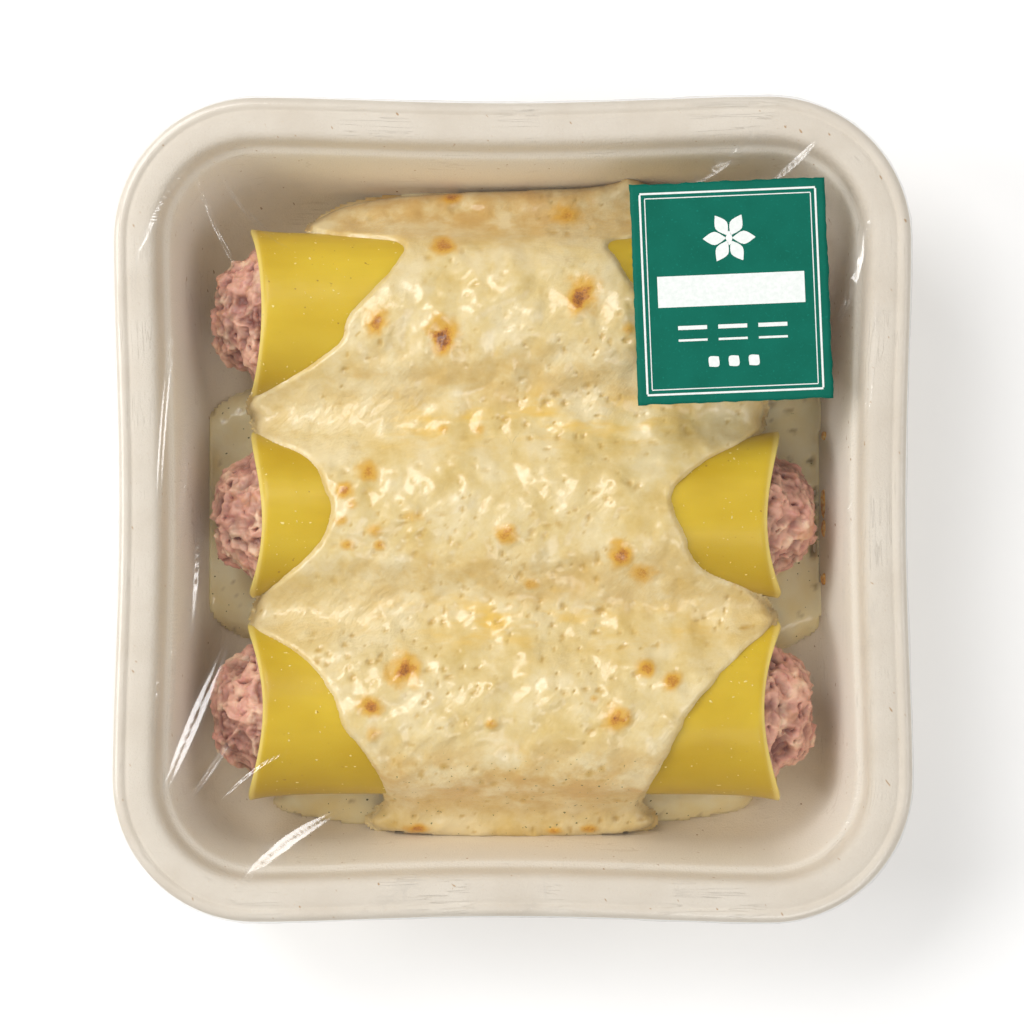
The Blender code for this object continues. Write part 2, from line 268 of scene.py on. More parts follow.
# %% [markdown]
# The meal stands on a wide sheet of white paper. It glows very slightly, so that it stays white right to
# the picture's edges, where a studio would light the background on its own.

# %% Floor
FLOOR_SIZE = 6.0
FLOOR_GRAIN = 40.0
FLOOR_TONES = ((0.3, (251.6, 251.6, 251.6)), (0.7, (253.3, 253.3, 253.3)))
FLOOR_GLOW = 0.08

bpy.ops.object.select_all(action="DESELECT")
bpy.ops.mesh.primitive_plane_add(size=FLOOR_SIZE, location=(0.0, 0.0, 0.0))
floor = bpy.context.object
floor.name = "floor"
paper_white, tree, shader = new_finish("white floor", 0.9)
tone = ramp(tree, noise_level(tree, object_place(tree), FLOOR_GRAIN), FLOOR_TONES)
tree.links.new(tone, shader.inputs["Base Color"])
shader.inputs["Specular IOR Level"].default_value = 0.1
shader.inputs["Emission Color"].default_value = (1.0, 1.0, 1.0, 1.0)
shader.inputs["Emission Strength"].default_value = FLOOR_GLOW
floor.data.materials.append(paper_white)

# %% [markdown]
# ## Helpers for modelling
#
# Blender's operators act on whatever is selected, so every step starts by selecting exactly one piece.

# %% Helpers for selecting


def rest_selection():
    """Leave edit mode and select nothing."""
    if bpy.context.mode != "OBJECT":
        bpy.ops.object.mode_set(mode="OBJECT")
    bpy.ops.object.select_all(action="DESELECT")


def take(piece):
    """Make one piece the only selected and active one."""
    rest_selection()
    piece.select_set(True)
    bpy.context.view_layer.objects.active = piece


def name_new(name):
    """Name the piece that was just added."""
    piece = bpy.context.object
    piece.name = name
    piece.data.name = name
    return piece


def edit_mesh(piece):
    """The editable mesh of the piece in edit mode."""
    return bmesh.from_edit_mesh(piece.data)


# %% [markdown]
# Most pieces here are skins drawn out ring by ring: a circle primitive is laid on a first outline, its
# edges are extruded, and the new points are laid on the next outline. Each point remembers its place in
# the ring, and an extrusion copies that number to the new point. That is how the tray's profile or a
# tube's flared end can be steered exactly, which scaling by hand can't do on a shape that isn't round.

# %% Drawing out a skin


def draw_out(name, rings, close_end=False):
    """A skin drawn out from the first ring through the others."""
    rest_selection()
    bpy.ops.mesh.primitive_circle_add(vertices=len(rings[0]), radius=0.1, fill_type="NOTHING")
    piece = name_new(name)
    bpy.ops.object.mode_set(mode="EDIT")
    mesh = edit_mesh(piece)
    place = mesh.verts.layers.int.new("place")
    mesh.verts.layers.int.new("row")
    mesh.verts.ensure_lookup_table()
    for index, point in enumerate(mesh.verts):
        point[place] = index
        point.co = rings[0][index]
        point.select_set(True)
    mesh.select_flush(True)
    bmesh.update_edit_mesh(piece.data)
    for number, ring in enumerate(rings[1:], start=1):
        bpy.ops.mesh.extrude_region_move()
        mesh = edit_mesh(piece)
        place = mesh.verts.layers.int["place"]
        row = mesh.verts.layers.int["row"]
        for point in mesh.verts:
            if point.select:
                point.co = ring[point[place]]
                point[row] = number
        bmesh.update_edit_mesh(piece.data)
    if close_end:
        bpy.ops.mesh.edge_face_add()
    bpy.ops.object.mode_set(mode="OBJECT")
    return piece


def whole_skin(piece, inside_out=False):
    """Merge doubled points and turn all faces one way."""
    take(piece)
    bpy.ops.object.mode_set(mode="EDIT")
    bpy.ops.mesh.select_all(action="SELECT")
    bpy.ops.mesh.remove_doubles(threshold=0.000001)
    bpy.ops.mesh.normals_make_consistent(inside=inside_out)
    bpy.ops.object.mode_set(mode="OBJECT")


def apply_modifier(piece, name, kind, **settings):
    """Add a modifier with its settings and apply it."""
    take(piece)
    modifier = piece.modifiers.new(name, kind)
    for key, value in settings.items():
        setattr(modifier, key, value)
    bpy.ops.object.modifier_apply(modifier=modifier.name)


def joined(name, parts):
    """Several small pieces made into one."""
    rest_selection()
    for part in parts:
        part.select_set(True)
    bpy.context.view_layer.objects.active = parts[0]
    bpy.ops.object.join()
    return name_new(name)


# %% [markdown]
# Relief is easier to work out for all points at once, as arrays in millimetres. These helpers carry the
# points and the painted numbers between the mesh and the arrays.

# %% Points, numbers and the last steps


def read_points(piece):
    """All points of a piece, in millimetres."""
    values = np.empty(len(piece.data.vertices) * 3)
    piece.data.vertices.foreach_get("co", values)
    return values.reshape(-1, 3) / MM


def write_points(piece, points):
    """Put all points of a piece back, from millimetres."""
    piece.data.vertices.foreach_set("co", (points * MM).ravel())
    piece.data.update()


def paint(piece, name, values):
    """Store a number on each point for a finish to read."""
    layer = piece.data.attributes.new(name, "FLOAT", "POINT")
    layer.data.foreach_set("value", np.asarray(values, dtype=np.float32))


def read_number(piece, name):
    """The whole numbers stored on the points by draw_out."""
    values = np.empty(len(piece.data.vertices), dtype=np.int32)
    piece.data.attributes[name].data.foreach_get("value", values)
    return values


def finish_piece(piece, material, slot, *nodes):
    """Smooth the piece, give it its material, and let it ride in place of its solids."""
    take(piece)
    bpy.ops.object.shade_smooth()
    piece.data.materials.clear()
    piece.data.materials.append(material)
    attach(piece, "root")
    if nodes:
        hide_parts(*nodes)
    rest_selection()
    print(f"{piece.name}: {len(piece.data.vertices)} points, {len(piece.data.polygons)} faces")


# %% [markdown]
# ## Helpers for uneven surfaces
#
# Food and fibre are never even. A lattice of seeded random numbers, eased between its points, gives a soft
# uneven level for thousands of points at once. Several of them at smaller and smaller sizes make a surface
# that is uneven at every scale. A generator with a fixed seed gives the same surface on every run.

# %% Helpers for uneven surfaces
LATTICE = 128


def uneven(x, y, size, seed):
    """A soft random level from -1 to 1 with features of a given size; x and y are arrays."""
    levels = np.random.default_rng(seed).uniform(-1.0, 1.0, (LATTICE, LATTICE))
    across, up = x / size, y / size
    column, line = np.floor(across).astype(int), np.floor(up).astype(int)
    part_x, part_y = across - column, up - line
    ease_x = part_x * part_x * (3.0 - 2.0 * part_x)
    ease_y = part_y * part_y * (3.0 - 2.0 * part_y)
    column, line = column % LATTICE, line % LATTICE
    beyond, above = (column + 1) % LATTICE, (line + 1) % LATTICE
    low = levels[line, column] * (1.0 - ease_x) + levels[line, beyond] * ease_x
    high = levels[above, column] * (1.0 - ease_x) + levels[above, beyond] * ease_x
    return low * (1.0 - ease_y) + high * ease_y


def uneven_layers(x, y, size, seed, layers=3):
    """Several uneven levels added up, each half as large and half as strong."""
    total = np.zeros_like(x)
    for layer in range(layers):
        total = total + uneven(x, y, size / 2 ** layer, seed + layer) / 2 ** layer
    return total


def smooth_step(low, high, values):
    """Zero below low, one above high, eased between."""
    share = np.clip((values - low) / (high - low), 0.0, 1.0)
    return share * share * (3.0 - 2.0 * share)


# %% [markdown]
# ## The tray
#
# The tray is pressed from wet plant fibre, so it is one skin of even thickness: a turned-down hem, a flat
# flange, a rounded shoulder, a small step, sloping walls and a floor with wide fillets. Its four sides pull
# in slightly at the middle. It could be carved from a box, but drawing the skin out ring by ring from the
# hem to the floor and giving it a wall at the end is how the real one is shaped, and keeps the wall even.

# %% The tray's outline
CORNER = 32.0
FLOOR_CORNER = 12.0
WAIST = 1.4
THINNEST = 0.01
CORNER_STEPS = 22
SIDE_STEPS = 26


def tray_outline(inset, height):
    """A rounded square with slightly hollow sides, drawn in by inset from the tray's edge."""
    half_x, half_y = HALF_X - inset, HALF_Y - inset
    radius = min(max(CORNER - inset, FLOOR_CORNER), half_x - THINNEST, half_y - THINNEST)
    ring = []
    signs = ((1, 1), (-1, 1), (-1, -1), (1, -1))
    centres = [(sx * (half_x - radius), sy * (half_y - radius)) for sx, sy in signs]
    for quarter, (middle_x, middle_y) in enumerate(centres):
        for step in range(CORNER_STEPS + 1):
            angle = math.pi / 2 * (quarter + step / CORNER_STEPS)
            ring.append((middle_x + radius * math.cos(angle), middle_y + radius * math.sin(angle)))
        turn = math.pi / 2 * (quarter + 1)
        next_x, next_y = centres[(quarter + 1) % 4]
        end_x, end_y = next_x + radius * math.cos(turn), next_y + radius * math.sin(turn)
        here_x, here_y = ring[-1]
        for step in range(1, SIDE_STEPS):
            share = step / SIDE_STEPS
            ring.append((here_x + (end_x - here_x) * share, here_y + (end_y - here_y) * share))
    shaped = []
    for x, y in ring:
        pull_x = WAIST * max(0.0, 1.0 - (y / (half_y - radius)) ** 2) ** 2
        pull_y = WAIST * max(0.0, 1.0 - (x / (half_x - radius)) ** 2) ** 2
        x -= math.copysign(min(pull_x, abs(x)), x)
        y -= math.copysign(min(pull_y, abs(y)), y)
        shaped.append(Vector((x, y, height)) * MM)
    return shaped


# %% [markdown]
# The profile is a short list of places, each with how far in from the edge and how far below the rim it
# lies. A smooth curve through them gives as many rings as the round parts need.

# %% The tray's profile
TRAY_PROFILE = (
    (0.65, 7.4), (0.25, 6.6), (0.05, 5.4), (0.0, 4.0), (0.02, 2.6), (0.25, 1.5), (0.7, 0.7), (1.3, 0.2),
    (1.9, 0.0), (2.5, 0.15), (2.9, 0.5), (3.2, 0.62), (3.6, 0.45), (4.2, 0.3), (5.4, 0.28), (6.6, 0.28),
    (7.7, 0.34), (8.5, 0.62), (9.2, 1.2), (9.7, 2.2), (10.0, 3.4), (10.3, 4.8), (10.55, 5.9), (11.0, 6.7),
    (11.6, 7.3), (12.0, 8.2), (12.3, 9.6), (12.7, 12.6), (13.5, 20.0), (14.4, 28.0), (15.1, 33.5),
    (15.8, 37.2), (16.8, 39.9), (18.2, 42.0), (20.2, 43.5), (22.8, 44.3), (26.0, 44.5), (40.0, 44.5),
    (60.0, 44.5),
)
TRAY_FLOOR = RIM - TRAY_PROFILE[-1][1]
TRAY_WALL = 1.4

tray = draw_out("moulded_tray", [tray_outline(inset, RIM - drop) for inset, drop in TRAY_PROFILE], True)
whole_skin(tray)
if tray.data.polygons[-1].normal.z < 0.0:
    whole_skin(tray, inside_out=True)
apply_modifier(tray, "wall", "SOLIDIFY", thickness=TRAY_WALL * MM, offset=-1.0, use_even_offset=True)
print("tray floor looks up:", tray.data.polygons[-1].normal.z)

# %% [markdown]
# Pressed fibre is slightly wavy. The points are moved up and down by a few hundredths of a millimetre, and
# how far each lies in from the edge is stored on it, so that the finish can run hairlines along the rim,
# paint light onto the inner walls and paint a warmer shade at their foot.

# %% The tray's unevenness
WAVE = 0.10
WAVE_SIZE = 22.0
points = read_points(tray)
sway = uneven_layers(points[:, 0] + 3.0 * points[:, 2], points[:, 1], WAVE_SIZE, 11)
lifted = smooth_step(2.0, 8.0, points[:, 2])
ceiling = RIM - points[:, 2]
points[:, 2] += np.minimum(WAVE * sway * lifted, ceiling)
write_points(tray, points)
rows = read_number(tray, "row")
insets = np.array([inset for inset, drop in TRAY_PROFILE])
paint(tray, "inset", insets[np.clip(rows, 0, len(insets) - 1)])

# %% [markdown]
# The finish of the tray: warm beige fibre with faint cloudy tones, a fine grain, a few darker fibres, and
# wavy hairlines that follow the rim, where the wet fibre creased as it was pressed. The inner walls are
# painted lighter, which is painted light, and their foot gets a warmer painted shade.

# %% Moulded fibre
HAIRLINE_LENGTH = 25.0
HAIRLINES_PER_MM = 0.9
FIBRE_TONES = ((0.25, (216, 205, 189)), (0.75, (228, 219, 205)))
# painted light on the inner walls, and a warmer painted shade at their foot
PAINTED_WALL_LIGHT, PAINTED_FOOT_SHADE = (248, 241, 229), (246, 228, 198)
GRAIN_TONE, FLECK_TONE, HAIRLINE_TONE = (218, 200, 174), (190, 160, 126), (196, 178, 152)

fibre, tree, shader = new_finish("moulded fibre", 0.82)
place = object_place(tree)
clouds = noise_level(tree, place, 14.0, 3.0)
grain = noise_level(tree, place, 0.55, 3.0, 0.7)
tone = ramp(tree, clouds, FIBRE_TONES)
# painted light: the walls grow lighter with depth, then a warmer painted shade near the floor
tone = tinted(tree, tone, step_ramp(tree, painted(tree, "inset"), 9.0, 12.5), PAINTED_WALL_LIGHT, 0.85)
tone = tinted(tree, tone, step_ramp(tree, painted(tree, "inset"), 13.0, 18.0), PAINTED_FOOT_SHADE, 0.60)
tone = tinted(tree, tone, step_ramp(tree, grain, 0.60, 0.80), GRAIN_TONE)
flecks = noise_level(tree, object_place(tree, (1.0, 2.8, 1.0), 0.6), 1.1, 1.0)
tone = tinted(tree, tone, step_ramp(tree, flecks, 0.76, 0.80), FLECK_TONE)

along = tree.nodes.new("ShaderNodeCombineXYZ")
spread = tree.nodes.new("ShaderNodeSeparateXYZ")
tree.links.new(place, spread.inputs["Vector"])
for axis in "XY":
    stretched = arithmetic(tree, "MULTIPLY", spread.outputs[axis], 1.0 / (HAIRLINE_LENGTH * MM))
    tree.links.new(stretched, along.inputs[axis])
tree.links.new(arithmetic(tree, "MULTIPLY", painted(tree, "inset"), HAIRLINES_PER_MM), along.inputs["Z"])
waves = noise_level(tree, along.outputs["Vector"], 1.0 / MM)
away = arithmetic(tree, "ABSOLUTE", arithmetic(tree, "SUBTRACT", waves, 0.5), 0.0)
hairline = arithmetic(tree, "SUBTRACT", 1.0, step_ramp(tree, away, 0.0, 0.012))
hairline = arithmetic(tree, "MULTIPLY", hairline, step_ramp(tree, clouds, 0.50, 0.62))
tone = tinted(tree, tone, hairline, HAIRLINE_TONE, 0.22)
tree.links.new(tone, shader.inputs["Base Color"])
bumps(tree, shader, ((grain, 0.16), (hairline, -0.06)))
finish_piece(tray, fibre, "moulded_fibre", "tray")

# %% [markdown]
# ## The pasta tubes
#
# A sheet of fresh egg pasta rolled round its filling makes a tube whose cut ends dry and curl: the sides
# flare out into little points, and the top edge draws back and bends down, so that the pale cut face shows
# from above. Each tube is drawn out along X, ring by ring, closest together at its ends.

# %% The tubes' sizes
TUBE_CENTRES = (45.6, -1.0, -46.6)
TUBE_WIDTHS = (38.2, 36.6, 38.8)
TUBE_LEFT_ENDS = (61.3, 61.1, 61.5)
TUBE_RIGHT_ENDS = (62.0, 62.1, 62.0)
TUBE_FLARES = (1.1, 1.2, 1.6)
TUBE_DIPS = (4.2, 3.8, 4.4)
TUBE_HEIGHT = 34.6
TUBE_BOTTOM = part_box("pasta_tube_1")[0].z / MM
PASTA_THICKNESS = 1.3
CURL = 0.9
CURL_START = 0.955
RIPPLE = 0.25
FLARE_POWER = 10
TUBE_SIDES = 96
MIDDLE = TUBE_BOTTOM + TUBE_HEIGHT / 2


def tube_point(number, station, angle):
    """A point on a tube's outside in millimetres; station runs from -1 at the left end to 1."""
    end = TUBE_RIGHT_ENDS[number] if station > 0 else TUBE_LEFT_ENDS[number]
    reach = abs(station)
    flare = TUBE_FLARES[number] * reach ** FLARE_POWER
    upward = max(0.0, math.sin(angle))
    dip = TUBE_DIPS[number] * upward ** 2 * reach ** 6
    curl = CURL * upward * max(0.0, (reach - CURL_START) / (1.0 - CURL_START)) ** 1.6
    ripple = RIPPLE * math.sin(3.0 * angle + 2.0 * number) * reach ** 4
    reach_y = TUBE_WIDTHS[number] / 2 + flare - curl
    reach_z = TUBE_HEIGHT / 2 - curl
    x = station * end - math.copysign(dip + ripple * reach ** 8, station)
    y = TUBE_CENTRES[number] + reach_y * math.cos(angle)
    z = MIDDLE + reach_z * math.sin(angle)
    return x, y, z


# %% [markdown]
# The rings stand at set shares of the way from the middle to an end. A wall and a small bevel then turn
# each skin into a sheet of pasta with softly rounded cut edges. Two numbers are stored on the points: how
# near the cut edge a point lies, and how far it turns away from the upper side, where shade is painted on.

# %% Draw out the tubes
END_STATIONS = (
    1.0, 0.992, 0.984, 0.974, 0.962, 0.948, 0.93, 0.905, 0.87, 0.82, 0.75, 0.66, 0.55, 0.43, 0.3, 0.15,
)
EDGE_BEVEL = 0.28
STATIONS = [-station for station in END_STATIONS] + [0.0] + list(reversed(END_STATIONS))


def pasta_tube(number):
    """One tube with its wall and soft cut edges."""
    rings = []
    for station in STATIONS:
        angles = (math.tau * index / TUBE_SIDES for index in range(TUBE_SIDES))
        rings.append([Vector(tube_point(number, station, angle)) * MM for angle in angles])
    tube = draw_out(f"cooked_tube_{number + 1}", rings)
    whole_skin(tube)
    points = read_points(tube)
    if (points[0, 2] - MIDDLE) * tube.data.vertices[0].normal.z < 0.0:
        whole_skin(tube, inside_out=True)
    rows = read_number(tube, "row")
    reach = np.abs(np.array(STATIONS))[rows]
    paint(tube, "lip", smooth_step(0.970, 0.990, reach))
    # painted shade: the share of the way round towards the tube's lower side, darkened in the finish
    underside_shade = (TUBE_CENTRES[number] - points[:, 1]) / (TUBE_WIDTHS[number] / 2)
    paint(tube, "underside_shade", smooth_step(0.05, 0.95, underside_shade))
    apply_modifier(tube, "wall", "SOLIDIFY", thickness=PASTA_THICKNESS * MM, offset=-1.0)
    apply_modifier(tube, "soft_edge", "BEVEL", width=EDGE_BEVEL * MM, segments=2, limit_method="ANGLE",
                   angle_limit=math.radians(50))
    return tube


tubes = [pasta_tube(number) for number in range(3)]

# %% [markdown]
# Cooked pasta is a little see-through and waxy: golden yellow, with a mustard painted shade where it turns
# under, tiny raised bubbles whose pale tone is a painted highlight, and specks. The pale cut edge uses the
# number stored on the lip.

# %% Cooked pasta
PASTA_TONES = ((0.30, (198, 161, 8)), (0.72, (222, 190, 44)))
PAINTED_UNDERSIDE_SHADE, SPECK_TONE, BUBBLE_GLINT_TONE, CUT_TONE = (178, 142, 6), (170, 130, 30), (244, 226, 140), (238, 216, 122)

pasta, tree, shader = new_finish("cooked pasta", 0.36)
place = object_place(tree)
clouds = noise_level(tree, object_place(tree, (2.0, 1.0, 1.0)), 16.0, 3.0)
tone = ramp(tree, clouds, PASTA_TONES)
# painted shade in mustard on the side that turns under
tone = tinted(tree, tone, painted(tree, "underside_shade"), PAINTED_UNDERSIDE_SHADE, 0.60)
specks = noise_level(tree, place, 1.5, 1.0)
tone = tinted(tree, tone, step_ramp(tree, specks, 0.735, 0.80), SPECK_TONE)
bubbles = noise_level(tree, place, 0.9, 0.0)
bubble = step_ramp(tree, bubbles, 0.79, 0.85)
# the raised bubbles are painted pale, a painted highlight for their glints
tone = tinted(tree, tone, bubble, BUBBLE_GLINT_TONE)
tone = tinted(tree, tone, painted(tree, "lip"), CUT_TONE, 0.80)
tree.links.new(tone, shader.inputs["Base Color"])
let_light_in(shader, 0.25, (2.2, 1.3, 0.4))
shader.inputs["Specular IOR Level"].default_value = 0.35
shader.inputs["Coat Weight"].default_value = 0.06
shader.inputs["Coat Roughness"].default_value = 0.15
wrinkle = noise_level(tree, object_place(tree, (4.0, 1.0, 1.0)), 1.8, 2.0)
bumps(tree, shader, ((wrinkle, 0.05), (bubble, 0.10), (noise_level(tree, place, 6.0, 1.0), 0.16)))
for number, tube in enumerate(tubes, start=1):
    finish_piece(tube, pasta, "cooked_pasta", f"pasta_tube_{number}")

# %% [markdown]
# ## The filling
#
# The filling is coarsely minced ham, packed through each tube and bulging from both ends. Mince breaks into
# lumps and folds of a few millimetres with small dark holes between them. Each filling starts as a cube cut
# into a fine grid, is rounded into a plug, and its two ends are then roughened at several sizes.

# %% The filling's plug
PLUG_CUTS = 80
NOSE = 70.4
CORE_FIT = 0.4
CORE_SHARE = 0.3
CORE_REACH = 50.0
DOME = 7.5
TAPER = 0.20


def round_section(across, up):
    """Turn a square section into a round one."""
    return across * np.sqrt(1.0 - up * up / 2.0), up * np.sqrt(1.0 - across * across / 2.0)


def plug(number):
    """The smooth shape of one filling: a core through the tube with a blunt bulge at each end."""
    rest_selection()
    bpy.ops.mesh.primitive_cube_add(size=2.0)
    piece = name_new(f"ham_filling_{number + 1}")
    bpy.ops.object.mode_set(mode="EDIT")
    bpy.ops.mesh.select_all(action="SELECT")
    bpy.ops.mesh.subdivide(number_cuts=PLUG_CUTS)
    bpy.ops.object.mode_set(mode="OBJECT")
    cube = read_points(piece) * MM
    along, across, up = cube[:, 0], cube[:, 1], cube[:, 2]
    across, up = round_section(across, up)
    reach = np.abs(along)
    side = np.sign(along)
    from_axis = np.sqrt(across ** 2 + up ** 2)
    inner_y = TUBE_WIDTHS[number] / 2 - PASTA_THICKNESS - CORE_FIT
    inner_z = TUBE_HEIGHT / 2 - PASTA_THICKNESS - CORE_FIT
    start = CORE_REACH * np.minimum(reach / CORE_SHARE, 1.0)
    bulge = np.clip((reach - CORE_SHARE) / (1.0 - CORE_SHARE), 0.0, 1.0)
    dome = (NOSE - CORE_REACH) * bulge - DOME * bulge ** 2.2 * from_axis ** 3.2
    shrink = 1.0 - TAPER * smooth_step(0.45, 1.0, bulge) * from_axis ** 2
    points = np.stack([
        side * (start + dome),
        TUBE_CENTRES[number] + across * inner_y * shrink,
        MIDDLE + up * inner_z * shrink,
    ], axis=1)
    write_points(piece, points)
    return piece, bulge


# %% [markdown]
# Torn ham has folds rather than grains. Ridged noise gives the folds, a cell pattern gives broad ledges that
# stand at different heights, and fine noise roughens both. Where a slow noise peaks, a small hole sinks in.
# How low each point lies is stored, so that the finish can paint shade into the holes and the hollows
# between lumps.

# %% The filling's lumps
MINCE_SEED = 7
LEDGE = 6.5
LEDGE_SOFTNESS = 0.10
WARP_SIZE = 4.0
WARP_REACH = 2.2
FOLD_SIZE = 4.2
LUMP_SIZE = 2.1
HOLE_SIZE = 1.7
HOLE_PLACE = Vector((9.0, 4.0, 1.0))
HOLE_FROM = 0.40
HOLE_DEPTH = 1.2
MEAN_LEVEL = 1.4


def mince(piece, number, bulge):
    """Push the bulging ends into lumps, and store what the finish needs."""
    take(piece)
    points = read_points(piece)
    normals = np.empty(len(points) * 3)
    piece.data.vertices.foreach_get("normal", normals)
    normals = normals.reshape(-1, 3)
    shift = Vector((17.3 * number, 9.1 * number, 4.0 * number))
    push = np.zeros(len(points))
    tint = np.zeros(len(points))
    crevice_shade = np.zeros(len(points))
    for index in np.flatnonzero(bulge > 0.02):
        spot = Vector(points[index]) + shift
        warp = noise.noise_vector(spot / WARP_SIZE) * WARP_REACH
        distances, seeds = noise.voronoi((spot + warp) / LEDGE)
        border = distances[1] - distances[0]
        step = noise.cell(seeds[0] * 7.1) * min(1.0, border / LEDGE_SOFTNESS)
        fold = noise.ridged_multi_fractal((spot + warp) / FOLD_SIZE, 0.9, 2.2, 3, 0.85, 2.0)
        lump = noise.noise(spot / LUMP_SIZE) + 0.5 * noise.noise(spot)
        hole = max(0.0, noise.noise((spot + warp * 0.4) / HOLE_SIZE + HOLE_PLACE) - HOLE_FROM) / 0.25
        level = 0.9 * step + 0.60 * min(fold, 2.0) + 0.75 * lump
        push[index] = level - MEAN_LEVEL - HOLE_DEPTH * min(1.0, hole)
        tint[index] = 0.5 + 0.5 * noise.noise((spot + warp) / 3.4)
        # painted shade: holes and low-lying hollows are darkened in the finish
        crevice_shade[index] = max(min(1.0, 1.2 * hole), 0.9 * max(0.0, 0.55 - level / 1.5))
    fade = smooth_step(0.16, 0.5, bulge)
    points += normals * (push * fade)[:, None]
    points[:, 0] = np.clip(points[:, 0], -NOSE - 0.5, NOSE + 0.5)
    points[:, 2] = np.maximum(points[:, 2], TUBE_BOTTOM + CORE_FIT)
    write_points(piece, points)
    paint(piece, "tint", tint)
    paint(piece, "crevice_shade", np.clip(crevice_shade, 0.0, 1.0))


noise.seed_set(MINCE_SEED)
fillings = []
for number in range(3):
    filling, bulge = plug(number)
    mince(filling, number, bulge)
    fillings.append(filling)

# %% [markdown]
# Cooked ham is a cool pink, with paler fat and browner lean pieces, and shade is painted dark and reddish
# into its cracks and hollows. A moist sheen and a little light passing through keep it from looking like
# clay.

# %% Minced ham
HAM_TONES = (
    (0.10, (205, 143, 125)), (0.38, (218, 163, 140)), (0.58, (227, 178, 151)),
    (0.76, (238, 202, 170)), (0.90, (246, 220, 187)),
)
BLUSH, LEAN_TONE, CREVICE_SHADE_TONE = (204, 136, 128), (212, 154, 112), (112, 58, 48)

ham, tree, shader = new_finish("minced ham", 0.42)
place = object_place(tree)
tone = ramp(tree, painted(tree, "tint"), HAM_TONES)
blush = noise_level(tree, place, 1.6, 3.0)
tone = tinted(tree, tone, step_ramp(tree, blush, 0.48, 0.75), BLUSH, 0.7)
brownish = noise_level(tree, place, 5.0, 2.0)
tone = tinted(tree, tone, step_ramp(tree, brownish, 0.58, 0.70), LEAN_TONE, 0.6)
# painted shade, dark and reddish, in the holes and hollows
tone = tinted(tree, tone, painted(tree, "crevice_shade"), CREVICE_SHADE_TONE)
tree.links.new(tone, shader.inputs["Base Color"])
let_light_in(shader, 0.30, (2.6, 1.0, 0.7))
bumps(tree, shader, ((noise_level(tree, place, 0.8, 3.0), 0.18),))
for number, filling in enumerate(fillings, start=1):
    finish_piece(filling, ham, "minced_ham", f"filling_{number}")

# %% [markdown]
# ## The cheese sauce
#
# The sauce was poured over the tubes and baked, so it drapes over each crest, sags between the tubes and
# ends in a soft lip on the pasta. Its level can be worked out: the height of what carries it, plus its
# thickness, and never below the sauce that fills the hollow. Its outline is a curve through the places
# where it turns, told as distances from the tray's middle.

# %% The sauce's outline
SAUCE_LEFT = (
    (80, 26), (77.2, 20), (76.4, 4), (75.8, -12), (75, -24), (74, -33), (72.5, -39.5), (70.5, -44.2),
    (68.5, -46.6), (66, -47.2), (64, -42), (62, -27), (57, -26.5), (50, -32), (43, -37.5), (37.5, -40),
    (33, -46), (28.7, -53.8), (25.6, -60.2), (22, -61.4), (18.2, -59.6), (15.8, -55.5), (13.0, -49.0),
    (8.8, -44.3), (2, -41.5), (-5, -42.3), (-11.8, -48), (-17.8, -55.6), (-20.6, -59.0), (-24.2, -60.4),
    (-27.6, -58.6), (-30.2, -53.2), (-34.8, -46.2), (-41.5, -41.5), (-48.3, -38.5), (-55.5, -33.7),
    (-63, -30.2), (-66.5, -29.4), (-69, -29.6), (-71, -32), (-73, -34.5), (-74.8, -33.5), (-76.2, -28),
    (-77, -18), (-77.6, -4), (-78, 3), (-80, 4),
)
SAUCE_RIGHT = (
    (80, 28), (77.2, 34), (76, 42), (73, 46), (70, 47.5), (65.5, 44), (63.5, 32), (62, 22.5), (57, 23.8),
    (51, 27.6), (43, 34), (37.4, 41), (28.7, 53.2), (25.4, 57.6), (22.0, 59.0), (18.6, 57.6), (15.6, 52),
    (11.2, 44.5), (4.2, 36.7), (-4.9, 38.5), (-10, 41), (-14.2, 44.7), (-18.6, 54.4), (-21.6, 59.0),
    (-25.0, 60.2), (-28.6, 58.0), (-32.6, 52.7), (-38.1, 46.6), (-43.8, 41.9), (-52.9, 36.7), (-60.5, 33.2),
    (-66.2, 29.6), (-68.5, 29.4), (-70.5, 31.5), (-72.5, 33.5), (-74.4, 32.5), (-76, 28), (-77, 20),
    (-77.6, 10), (-78, 7), (-80, 6),
)

# %% [markdown]
# A smooth curve runs through the turning places. Its points are spread evenly along it, also where it runs
# nearly level, and the distance from each grid point to the nearest of them tells how deep in it lies.

# %% From turning places to an outline
OUTLINE_PITCH = 0.22
OUTLINE_ROWS = 1100
OUTLINE_BLOCK = 100
RAGGED_SIZE = 5.0


def curve_through(pairs, y):
    """Easy curve through (y, x) pairs at many y at once, by Catmull and Rom's rule."""
    knots = np.array(pairs[::-1], dtype=float)
    index = np.clip(np.searchsorted(knots[:, 0], y) - 1, 0, len(knots) - 2)
    before, after = np.maximum(index - 1, 0), np.minimum(index + 2, len(knots) - 1)
    share = np.clip((y - knots[index, 0]) / (knots[index + 1, 0] - knots[index, 0]), 0.0, 1.0)
    start, end = knots[index, 1], knots[index + 1, 1]
    width = knots[index + 1, 0] - knots[index, 0]
    lean_in = (end - knots[before, 1]) / (knots[index + 1, 0] - knots[before, 0]) * width
    lean_out = (knots[after, 1] - start) / (knots[after, 0] - knots[index, 0]) * width
    square, cube = share ** 2, share ** 3
    return ((2 * cube - 3 * square + 1) * start + (cube - 2 * square + share) * lean_in
            + (3 * square - 2 * cube) * end + (cube - square) * lean_out)


